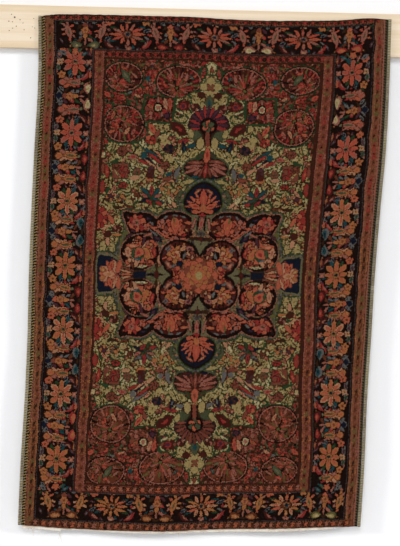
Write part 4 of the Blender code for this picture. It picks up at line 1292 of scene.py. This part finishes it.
bowRows = (
    # down, half height, forward
    (0.47, 0.05, 0.0015), (0.63, 0.05, -0.0020), (0.82, 0.07, 0.0020), (1.00, 0.05, -0.0020),
)
leanRows = (
    # down the pile, how far right the design has drifted at its axis and at the field's right side, in cm
    (0.0, 0.3, 1.3), (20.0, 0.0, 1.4), (50.0, 0.0, 0.2), (70.0, 0.0, 0.0), (96.0, 0.0, -0.2),
    (120.0, 0.2, 0.7), (145.0, 0.9, 1.3), (165.0, 2.0, 2.0), (190.0, 2.0, 1.2),
)


def readRow(rows, at, column):
    # a table's column on a smooth curve through its rows
    table = np.array(rows)
    at = np.clip(at, table[0, 0], table[-1, 0])
    number = np.clip(np.searchsorted(table[:, 0], at, side="right") - 1, 0, len(table) - 2)
    before = np.maximum(np.arange(len(table)) - 1, 0)
    after = np.minimum(np.arange(len(table)) + 1, len(table) - 1)
    slope = (table[after, column] - table[before, column]) / (table[after, 0] - table[before, 0])
    span = table[number + 1, 0] - table[number, 0]
    share = (at - table[number, 0]) / span
    rise = table[number + 1, column] - table[number, column]
    return (table[number, column] + rise * smoothStep(0.0, 1.0, share)
            + slope[number] * span * share * (1.0 - share) ** 2
            - slope[number + 1] * span * share * share * (1.0 - share))


def hump(distance):
    return np.where(np.abs(distance) < 1.0, 0.5 + 0.5 * np.cos(np.pi * distance), 0.0)


def rugX(across, down):
    left, right = readRow(sideRows, down, 1), readRow(sideRows, down, 2)
    return left + (right - left) * across


def rugZ(across, down):
    top, bottom = readRow(endRows, across, 1), readRow(endRows, across, 2)
    return top + (bottom - top) * down


def rugBack(across, down):
    # where the rug's back is: close to the rail, and free of it from a little below the rail's top
    free = smoothStep(rail["height"] * 0.3, -rail["height"] / 2, rugZ(across, down))
    forward = hang["gap"] + (hang["clear"] - hang["gap"]) * free
    for top, bottom, halfWidth, depth, start in waveRows:
        crest = top + (bottom - top) * down
        forward = forward + depth * hump((across - crest) / (2 * halfWidth)) * smoothStep(start, 1.0, down)
    for place, halfHeight, depth in bowRows:
        forward = forward + depth * hump((down - place) / (2 * halfHeight))
    return -rail["depth"] - forward


def softNoise(seed, along, across, rows, columns):
    # smooth seeded unevenness, about -1 to 1, read at shares 0 to 1 of a coarse net
    net = np.random.default_rng(seed).uniform(-1.0, 1.0, (rows + 1, columns + 1))
    return readNet(net, np.clip(along, 0, 1) * (rows - 1e-6), np.clip(across, 0, 1) * (columns - 1e-6))


def layGrid(name, columns, rows, place):
    # a flat grid, each point then put where place(across, down) says
    bpy.ops.object.select_all(action="DESELECT")
    bpy.ops.mesh.primitive_grid_add(x_subdivisions=columns, y_subdivisions=rows, size=1.0)
    piece = bpy.context.object
    piece.name = piece.data.name = name
    flat = np.empty(len(piece.data.vertices) * 3)
    piece.data.vertices.foreach_get("co", flat)
    flat = flat.reshape(-1, 3)
    x, y, z = place(flat[:, 0] + 0.5, 0.5 - flat[:, 1])
    piece.data.vertices.foreach_set("co", np.stack([x, y, z], 1).ravel())
    piece.data.update()
    return piece


def applyModifiers(piece):
    bpy.ops.object.select_all(action="DESELECT")
    piece.select_set(True)
    bpy.context.view_layer.objects.active = piece
    for modifier in list(piece.modifiers):
        bpy.ops.object.modifier_apply(modifier=modifier.name)


shot = {"centre": (-0.031, -0.896), "height": 2.0202, "distance": 5.6, "roll": 1.42, "sensor": 36.0}


def setCamera():
    camera = bpy.data.objects.new("camera", bpy.data.cameras.new("camera"))
    bpy.context.collection.objects.link(camera)
    camera.location = (shot["centre"][0], -shot["distance"] - rail["depth"], shot["centre"][1])
    camera.rotation_euler = (math.pi / 2, -math.radians(shot["roll"]), 0.0)
    camera.data.sensor_width = shot["sensor"]
    camera.data.lens = shot["sensor"] * shot["distance"] / shot["height"]
    bpy.context.scene.camera = camera


room = {"wall": 0.0006, "floor": -2.25, "wide": 16.0, "wallColour": (0.83, 0.83, 0.838),
        "floorColour": (0.78, 0.78, 0.79), "worldColour": (0.98, 0.985, 1.0), "worldLight": 0.26}
lamps = (
    # name, kind, place, looks at, size (a sun's in degrees), power; the suns rake the wall from both sides
    # and throw the shadows beside the rug
    ("leftSun", "SUN", (-2.9, -1.0, 0.0), (0.0, 0.0, -0.9), 8.0, 1.5),
    ("rightSun", "SUN", (2.5, -1.0, 0.0), (0.0, 0.0, -0.9), 8.0, 1.5),
    ("topSun", "SUN", (-0.1, -1.0, 0.0), (0.0, 0.0, -0.9), 24.0, 0.75),
    ("frontLight", "AREA", (-0.2, -5.6, 1.0), (0.0, 0.0, -0.9), 3.6, 95.0),
    ("rearLight", "AREA", (-1.0, 4.2, 1.8), (0.0, 0.0, -0.9), 3.2, 90.0),
)


def setStage():
    def plane(name, middle, turn, colour):
        bpy.ops.object.select_all(action="DESELECT")
        bpy.ops.mesh.primitive_plane_add(size=room["wide"], location=middle, rotation=turn)
        sheet = bpy.context.object
        sheet.name = name
        finish = Finish(name, {"Base Color": (*colour, 1.0), "Roughness": 0.9})
        sheet.data.materials.append(finish.material)
        return sheet, finish

    wall, finish = plane("wall", (0.0, room["wall"], 0.0), (math.pi / 2, 0.0, 0.0), room["wallColour"])
    plane("floor", (0.0, 0.0, room["floor"]), (0.0, 0.0, 0.0), room["floorColour"])
    # clear from behind and without a shadow, so that the rug's back shows too
    behind = finish.add("ShaderNodeNewGeometry", {}, {}, "Backfacing")
    clear = finish.add("ShaderNodeBsdfTransparent", {}, {})
    shader = Value(finish, finish.shader.outputs[0])
    both = finish.add("ShaderNodeMixShader", {}, {0: behind, 1: shader, 2: clear})
    finish.tree.links.new(both.socket, finish.tree.nodes["Material Output"].inputs["Surface"])
    wall.visible_shadow = False


def setLights():
    for name, kind, place, target, size, power in lamps:
        lamp = bpy.data.lights.new(name, kind)
        lamp.energy = power
        if kind == "SUN":
            lamp.angle = math.radians(size)
        else:
            lamp.shape, lamp.size = "SQUARE", size
        thing = bpy.data.objects.new(name, lamp)
        bpy.context.collection.objects.link(thing)
        thing.location = place
        thing.visible_camera = False
        thing.rotation_euler = (Vector(place) - Vector(target)).to_track_quat("Z", "Y").to_euler()
    world = bpy.data.worlds.new("world")
    bpy.context.scene.world = world
    world.use_nodes = True
    glow = world.node_tree.nodes["Background"]
    glow.inputs["Color"].default_value = (*room["worldColour"], 1.0)
    glow.inputs["Strength"].default_value = room["worldLight"]
    bpy.context.scene.view_settings.view_transform = "Standard"


setCamera()
setStage()
setLights()
print("camera, stage and lights set")

# how the pile looks; one of its shares sets how strong the painted highlight flecks on it are
pileLook = {"illumination": 0.745, "knotTint": 0.34, "shade": 0.22, "abrash": 0.30, "tufts": 0.55,
            "highlightFlecks": 0.4, "relief": 0.0006, "unevenness": 0.0005, "bumpDistance": 0.0012, "ragged": 0.0016,
            "raggedShare": 0.012}
# How deep the darker wools have worn, in shares of the relief
wornWools = {"umber": 1.0, "soot": 0.9, "forest": 0.4, "night": 0.2, "rust": 0.5, "wine": 0.2}
# The unevenness of the pile: seed, rows and columns of its net, share
unevenRows = ((1, 60, 40, 0.6), (2, 22, 15, 1.0))
knotBase = 32.0  # more than there are wools


def packKnots(knots):
    # each face carries a block of knots, one number for each of its rows, with a digit for each knot
    size = hang["knotsPerFace"]
    blocks = knots.reshape(hang["rows"], size, hang["columns"], size).transpose(0, 2, 1, 3)
    return (blocks * knotBase ** np.arange(size)).sum(-1)


def wornDepth(knots):
    # at each corner of the faces
    names = list(wools)
    depth = np.array([wornWools.get(name, 0.0) for name in names])[knots]
    size = hang["knotsPerFace"]
    faces = depth.reshape(hang["rows"], size, hang["columns"], size).mean((1, 3))
    padded = np.pad(faces, 1, mode="edge")
    return (padded[1:, 1:] + padded[1:, :-1] + padded[:-1, 1:] + padded[:-1, :-1]) / 4.0


def makeRug(knots, finishes):
    depth = wornDepth(knots)

    def place(across, down):
        x, y = across * chartSize["wide"], down * chartSize["high"]
        # the design's own drift, straight at the outer edges
        atAxis, atSide = readRow(leanRows, y, 1), readRow(leanRows, y, 2)
        left, axis, right = fieldPlan["left"], fieldPlan["axis"], fieldPlan["right"]
        drift = atAxis * np.clip((x - left) / (axis - left), 0.0, 1.0)
        drift = drift + (atSide - atAxis) * np.clip((x - axis) / (right - axis), 0.0, 1.0)
        drift = drift - atSide * np.clip((x - right) / (chartSize["wide"] - right), 0.0, 1.0)
        leaning = (x + drift) / chartSize["wide"]
        row = np.rint(down * hang["rows"]).astype(int)
        column = np.rint(across * hang["columns"]).astype(int)
        worn = depth[row, column] * pileLook["relief"]
        uneven = sum(softNoise(seed, down, across, rows, columns) * share
                     for seed, rows, columns, share in unevenRows)
        front = rugBack(leaning, down) - hang["pile"] + worn + uneven * pileLook["unevenness"]
        ragged = np.abs(softNoise(4, down, across, 30, 90)) * pileLook["ragged"]
        nearTop = 1.0 - smoothStep(0.0, pileLook["raggedShare"], down)
        nearBottom = smoothStep(1.0 - pileLook["raggedShare"], 1.0, down)
        return rugX(leaning, down), front, rugZ(leaning, down) + ragged * (nearBottom - nearTop)

    rug = layGrid("rugPile", hang["columns"], hang["rows"], place)
    # the knots of each face, found by the face's place on the grid
    packed = packKnots(knots)
    mapPlaces = np.empty(len(rug.data.loops) * 2)
    rug.data.uv_layers[0].data.foreach_get("uv", mapPlaces)
    middles = mapPlaces.reshape(-1, 4, 2).mean(1)
    column = np.floor(middles[:, 0] * hang["columns"]).astype(int)
    row = np.floor((1.0 - middles[:, 1]) * hang["rows"]).astype(int)
    rug.data.uv_layers[0].name = "weave"
    carried = rug.data.attributes.new("knots", "FLOAT_VECTOR", "FACE")
    carried.data.foreach_set("vector", packed[row, column].astype(np.float32).ravel())
    for finish in finishes:
        rug.data.materials.append(finish)
    thick = rug.modifiers.new("thickness", "SOLIDIFY")
    thick.thickness, thick.offset = hang["pile"], -1.0
    thick.material_offset = 1
    thick.material_offset_rim = 1
    applyModifiers(rug)
    rug.data.shade_smooth()
    return rug


def woolFinish(name, back):
    finish = Finish(name, {"Roughness": 0.95, "Specular IOR Level": 0.02})
    weave = finish.add("ShaderNodeUVMap", {"uv_map": "weave"}, {})
    u = finish.axis(weave, "X") * float(hang["columns"])
    v = (1.0 - finish.axis(weave, "Y")) * float(hang["rows"])
    carried = finish.add("ShaderNodeAttribute", {"attribute_name": "knots"}, {}, "Vector")
    rows = [finish.axis(carried, axis) for axis in "XYZ"]
    size = float(hang["knotsPerFace"])
    subColumn = (u.fraction() * size).floor()
    subRow = (v.fraction() * size).floor()
    # pick the knot row, then the knot's own digit, with a little added against rounding
    line = rows[0] * (subRow < 0.5) + rows[1] * (subRow > 0.5) * (subRow < 1.5) + rows[2] * (subRow > 1.5)
    digit = (line / subColumn.math("POWER", knotBase, subColumn) + 0.0003).floor() % knotBase
    light = pileLook["illumination"]
    stops = [(number / knotBase, linear(*wools[wool], light)) for number, wool in enumerate(wools)]
    colour = finish.add("ShaderNodeValToRGB", {"interpolation": "CONSTANT", "stops": stops},
                        {0: (digit + 0.5) / knotBase})
    # every knot takes the dye a little differently, every dye lot too
    knotPlace = finish.add("ShaderNodeCombineXYZ", {}, {0: (u * size).floor(), 1: (v * size).floor()})
    tint = finish.add("ShaderNodeTexWhiteNoise", {"noise_dimensions": "2D"}, {"Vector": knotPlace}, 0)
    lotPlace = finish.add("ShaderNodeCombineXYZ", {}, {0: u * 0.006, 1: v * 0.11, 2: digit})
    lot = finish.noise(lotPlace, 1.0, 3.0, 0.6)
    place = finish.objectPlace()
    cloud = finish.noise(place, 7.0, 4.0, 0.6)
    tufts = finish.noise(place, 130.0, 2.0, 0.6)
    # where the painted highlight flecks fall on the pile
    highlightFlecks = finish.noise(finish.objectPlace((1.0, 1.0, 1.3)), 96.0, 3.0, 0.7)
    shade = ((tint - 0.5) * pileLook["knotTint"] + (lot - 0.5) * pileLook["abrash"]
             + (cloud - 0.5) * pileLook["shade"] + (tufts - 0.5) * pileLook["tufts"] + 1.0)
    shaded = finish.add("ShaderNodeVectorMath", {"operation": "SCALE"}, {0: colour, "Scale": shade})
    # painted highlights: the pile turns paler and bluer in scattered flecks, standing in for light catching
    # the wool
    highlighted = finish.add("ShaderNodeVectorMath", {"operation": "MULTIPLY_ADD"},
                       {0: shaded, 1: (1.15, 1.3, 1.45), 2: (0.004, 0.004, 0.003)})
    shaded = finish.mix(finish.spread(highlightFlecks, 0.5, 0.75) * pileLook["highlightFlecks"] * 2.0, shaded, highlighted)
    if back:
        # the cotton foundation shows between the rows
        ribs = ((v * size * math.pi).sine() * 0.5 + 0.5) * 0.35
        shaded = finish.mix(ribs, shaded, linear(150, 132, 104, light * 0.8))
        height = ribs
    else:
        rowRidge = (v * (size * math.pi)).sine()
        fuzz = finish.noise(place, 420.0, 3.0, 0.7)
        height = rowRidge * rowRidge * 0.25 + fuzz * 0.55 + cloud * 0.4
    bump = finish.bump(height, 0.55, pileLook["bumpDistance"])
    return finish.wear(Base_Color=shaded, Normal=bump, Roughness=0.86 + (tint - 0.5) * 0.12)


knots = drawRug()
print("design charted:", knots.shape[1], "by", knots.shape[0], "knots")
rug = makeRug(knots, (woolFinish("woolPile", False), woolFinish("woolBack", True)))
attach(rug, "root")
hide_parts("rug_pile")
print("pile made:", len(rug.data.polygons), "faces")

cord = {"width": 0.012, "thickness": 0.007, "sides": 12, "wraps": 400, "ringsPerWrap": 4, "slant": 0.2,
        "girth": 0.92, "swell": 0.05, "lumps": 260}


def makeCord(name, across, outward):
    # an oval tube beside the rug, swelling with each wrap and unevenly along its length
    def place(around, down):
        turn = around * 2.0 * math.pi
        spot = np.full_like(down, across)
        wrap = np.sin((down * cord["wraps"] + np.cos(turn) * cord["slant"]) * 2.0 * math.pi)
        lumps = softNoise(31 if outward < 0 else 37, down, around * 0.0, cord["lumps"], 1)
        girth = cord["girth"] + (wrap + lumps) * cord["swell"]
        middleX = rugX(spot, down) + outward * (hang["gap"] + cord["width"] / 2)
        middleY = rugBack(spot, down) - cord["thickness"] / 2
        return (middleX + np.cos(turn) * cord["width"] / 2 * girth,
                middleY - np.sin(turn) * cord["thickness"] / 2 * girth, rugZ(spot, down))

    piece = layGrid(name, cord["sides"], cord["wraps"] * cord["ringsPerWrap"], place)
    piece.data.uv_layers[0].name = "wrap"
    closeTube(piece)
    piece.data.shade_smooth()
    return piece


def closeTube(piece):
    # weld the seam, fill both ends and turn the faces outwards
    bpy.context.view_layer.objects.active = piece
    bpy.ops.object.mode_set(mode="EDIT")
    bpy.ops.mesh.select_all(action="SELECT")
    bpy.ops.mesh.remove_doubles(threshold=0.00001)
    bpy.ops.mesh.select_all(action="SELECT")
    bpy.ops.mesh.fill_holes(sides=0)
    bpy.ops.mesh.select_all(action="SELECT")
    bpy.ops.mesh.normals_make_consistent(inside=False)
    bpy.ops.object.mode_set(mode="OBJECT")


def cordFinish():
    finish = Finish("olive wool", {"Roughness": 0.9, "Sheen Weight": 0.15, "Specular IOR Level": 0.2})
    wrap = finish.add("ShaderNodeUVMap", {"uv_map": "wrap"}, {})
    down = finish.axis(wrap, "Y")
    around = finish.axis(wrap, "X")
    strands = (down * (cord["wraps"] * math.pi * 2.0)).sine() * 0.5 + 0.5
    place = finish.objectPlace()
    patches = finish.noise(place, 26.0, 3.0, 0.65)
    highlightMask = finish.noise(finish.objectPlace((1.0, 1.0, 2.2)), 2.2, 2.0, 0.5)
    light = pileLook["illumination"]
    # painted highlight: the cord goes slowly from olive to a paler olive along its length, standing in for
    # light catching it
    highlitOlive = finish.mix(finish.spread(highlightMask, 0.35, 0.65), linear(136, 122, 94, light),
                      linear(166, 154, 118, light))
    worn = finish.mix(finish.spread(patches, 0.45, 0.75), highlitOlive, linear(184, 174, 150, light))
    # dark slanting stitches, one to every two wraps
    slanted = (down * (cord["wraps"] * math.pi) + around * 3.0).sine() * 0.5 + 0.5
    hatch = finish.spread(slanted, 0.4, 0.7)
    colour = finish.mix(strands * 0.2 + hatch * 0.5, worn, linear(64, 52, 34, light))
    fibres = finish.noise(place, 700.0, 2.0, 0.6)
    return finish.wear(Base_Color=colour, Normal=finish.bump(strands * 0.6 + fibres * 0.4, 0.6, 0.001))


oliveWool = cordFinish()
for name, node, across, outward in (("selvedgeLeft", "selvedge_left", 0.0, -1.0),
                                    ("selvedgeRight", "selvedge_right", 1.0, 1.0)):
    piece = makeCord(name, across, outward)
    piece.data.materials.append(oliveWool)
    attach(piece, "root")
    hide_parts(node)
print("side cords wrapped")

cotton = {"thickness": 0.0015, "inset": 0.0008, "columns": 420, "rows": 2, "unevenness": 0.12,
          "threadSides": 6, "threadRings": 14, "threadWidth": 0.0017, "threadStart": 0.7, "taper": 0.35,
          "sway": 0.06, "swayDepth": 0.0008, "swayTurn": 1.3}
cottonDepth = (
    # across, how far it hangs below the pile
    (0.004, 0.011), (0.035, 0.008), (0.065, 0.009), (0.113, 0.010), (0.120, 0.005), (0.195, 0.004),
    (0.260, 0.006), (0.330, 0.007), (0.422, 0.007), (0.432, 0.004), (0.442, 0.008), (0.500, 0.008),
    (0.506, 0.006), (0.530, 0.009), (0.700, 0.010), (0.850, 0.009), (0.900, 0.007), (0.930, 0.005),
)
looseThreads = (
    # across, length, lean to the side
    (0.022, 0.014, -0.10), (0.037, 0.030, 0.12), (0.058, 0.020, -0.16), (0.118, 0.052, 0.10),
    (0.470, 0.016, -0.12), (0.030, 0.018, 0.30), (0.114, 0.034, -0.08), (0.330, 0.010, 0.20),
    (0.640, 0.009, -0.20),
)


def joinPieces(pieces):
    bpy.ops.object.select_all(action="DESELECT")
    for piece in pieces:
        piece.select_set(True)
    bpy.context.view_layer.objects.active = pieces[0]
    bpy.ops.object.join()
    return pieces[0]


def cottonReach(across):
    table = np.array(cottonDepth)
    return np.interp(across, table[:, 0], table[:, 1])


def makeThread(number, across, length, lean):
    # a loose warp end: a thin tube that leans and sways as it hangs from the strip
    spot, edge = np.array([across]), np.array([1.0])
    x = float(rugX(spot, edge)[0])
    y = float(rugBack(spot, edge)[0]) - cotton["inset"] - cotton["thickness"] / 2
    z = float(rugZ(spot, edge)[0]) - float(cottonReach(across)) * cotton["threadStart"]

    def place(around, down):
        turn = around * 2.0 * math.pi
        sway = np.sin(down * math.pi * cotton["swayTurn"] + number) - math.sin(number)
        radius = cotton["threadWidth"] / 2 * (1.0 - cotton["taper"] * down)
        return (x + lean * length * down + sway * length * cotton["sway"] + np.cos(turn) * radius,
                y + sway * cotton["swayDepth"] - np.sin(turn) * radius, z - length * down)

    thread = layGrid("thread", cotton["threadSides"], cotton["threadRings"], place)
    closeTube(thread)
    return thread


def makeCotton():
    first, last = cottonDepth[0][0], cottonDepth[-1][0]

    def place(along, down):
        across = first + (last - first) * along
        edge = np.ones_like(across)
        reach = cottonReach(across) * (1.0 + cotton["unevenness"] * softNoise(51, along, down * 0.0, 180, 1))
        back = rugBack(across, edge) - cotton["inset"]
        return rugX(across, edge), back - cotton["thickness"], rugZ(across, edge) - hang["gap"] - reach * down

    strip = layGrid("kilimEnd", cotton["columns"], cotton["rows"], place)
    thick = strip.modifiers.new("thickness", "SOLIDIFY")
    thick.thickness, thick.offset = cotton["thickness"], -1.0
    applyModifiers(strip)
    return joinPieces([strip] + [makeThread(number, *row) for number, row in enumerate(looseThreads)])


def cottonFinish():
    finish = Finish("cream cotton", {"Roughness": 0.93, "Specular IOR Level": 0.2, "Sheen Weight": 0.1})
    place = finish.objectPlace()
    patches = finish.noise(place, 30.0, 3.0, 0.6)
    weave = (finish.axis(place, "X") * 3600.0).sine() * 0.5 + 0.5  # a warp every 1.7 mm
    colour = finish.mix(finish.spread(patches, 0.35, 0.7), (0.74, 0.68, 0.58), (0.56, 0.47, 0.36))
    colour = finish.mix(weave * 0.25, colour, (0.42, 0.34, 0.25))
    return finish.wear(Base_Color=colour, Normal=finish.bump(weave, 0.5, 0.0006))


strip = makeCotton()
strip.data.materials.append(cottonFinish())
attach(strip, "root")
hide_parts("kilim_end")
print("cotton end and loose threads made")

pine = {"pale": (239, 221, 196), "warm": (229, 206, 172), "line": (210, 180, 140), "light": 0.86,
        "edgeLight": 0.8}


def pineFinish():
    finish = Finish("pale pine board", {"Roughness": 0.6, "Specular IOR Level": 0.3})
    place = finish.objectPlace()
    grain = finish.noise(finish.objectPlace((0.5, 8.0, 16.0)), 3.0, 4.0, 0.6)
    fine = finish.noise(finish.objectPlace((2.0, 60.0, 160.0)), 3.0, 3.0, 0.6)
    height = finish.axis(place, "Z")
    pale, warm, line = (linear(*pine[name], pine["light"]) for name in ("pale", "warm", "line"))
    colour = finish.mix(finish.spread(grain, 0.35, 0.7), pale, warm)
    colour = finish.mix(finish.spread(fine, 0.55, 0.8) * 0.35, colour, line)
    # darker towards the upper and lower edge
    edges = finish.spread(height.math("ABSOLUTE", height), 0.066, 0.080)
    colour = finish.mix(edges * 0.3, colour, linear(*pine["line"], pine["edgeLight"]))
    bump = finish.bump(fine + grain * 0.5, 0.25, 0.0006)
    return finish.wear(Base_Color=colour, Normal=bump, Roughness=0.55 + fine * 0.15)


board = frame["nodes"]["rail"]
for slot in board.material_slots:
    slot.material = pineFinish()

# How far a tack head's middle stands out of the board, and how deep it is, in shares of its radius
tack = {"proud": 0.05, "depth": 0.45}
# Old tack heads in the board: across, up, radius, in metres
tackRows = (
    (-0.740, 0.0330, 0.0030), (-0.7515, 0.0435, 0.0018), (-0.7610, 0.0180, 0.0020),
    (-0.7480, 0.0160, 0.0016), (-0.7085, 0.0125, 0.0016), (-0.7200, 0.0245, 0.0018),
    (-0.7335, 0.0000, 0.0018), (-0.7465, -0.0075, 0.0016), (-0.7590, -0.0165, 0.0018),
    (-0.7040, -0.0125, 0.0016), (-0.6690, 0.0300, 0.0016), (-0.6515, 0.0210, 0.0018),
    (-0.6475, 0.0115, 0.0014), (-0.6650, -0.0050, 0.0016), (-0.6735, -0.0010, 0.0014),
    (-0.6790, -0.0415, 0.0018), (0.6500, 0.0150, 0.0018), (0.6960, 0.0010, 0.0016),
    (0.6960, -0.0160, 0.0018), (0.6985, -0.0290, 0.0014), (0.7010, -0.0420, 0.0016),
)


def makeTacks():
    heads = []
    for x, z, radius in tackRows:
        bpy.ops.object.select_all(action="DESELECT")
        bpy.ops.mesh.primitive_uv_sphere_add(segments=12, ring_count=8, radius=radius,
                                             location=(x, -rail["depth"] - radius * tack["proud"], z))
        head = bpy.context.object
        head.scale = (1.0, tack["depth"], 1.0)
        bpy.ops.object.transform_apply(location=True, rotation=False, scale=True)
        heads.append(head)
    joined = joinPieces(heads)
    joined.name = "tackHeads"
    bpy.ops.object.origin_set(type="ORIGIN_CURSOR")
    joined.data.shade_smooth()
    return joined


def rustFinish():
    finish = Finish("rusty iron", {"Metallic": 0.35})
    patches = finish.noise(finish.objectPlace(), 900.0, 2.0, 0.6)
    colour = finish.mix(patches, (0.10, 0.055, 0.03), (0.03, 0.02, 0.018))
    return finish.wear(Base_Color=colour, Roughness=0.6 + patches * 0.3)


tacks = makeTacks()
tacks.data.materials.clear()
tacks.data.materials.append(rustFinish())
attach(tacks, "root")
print("rail and tacks finished")
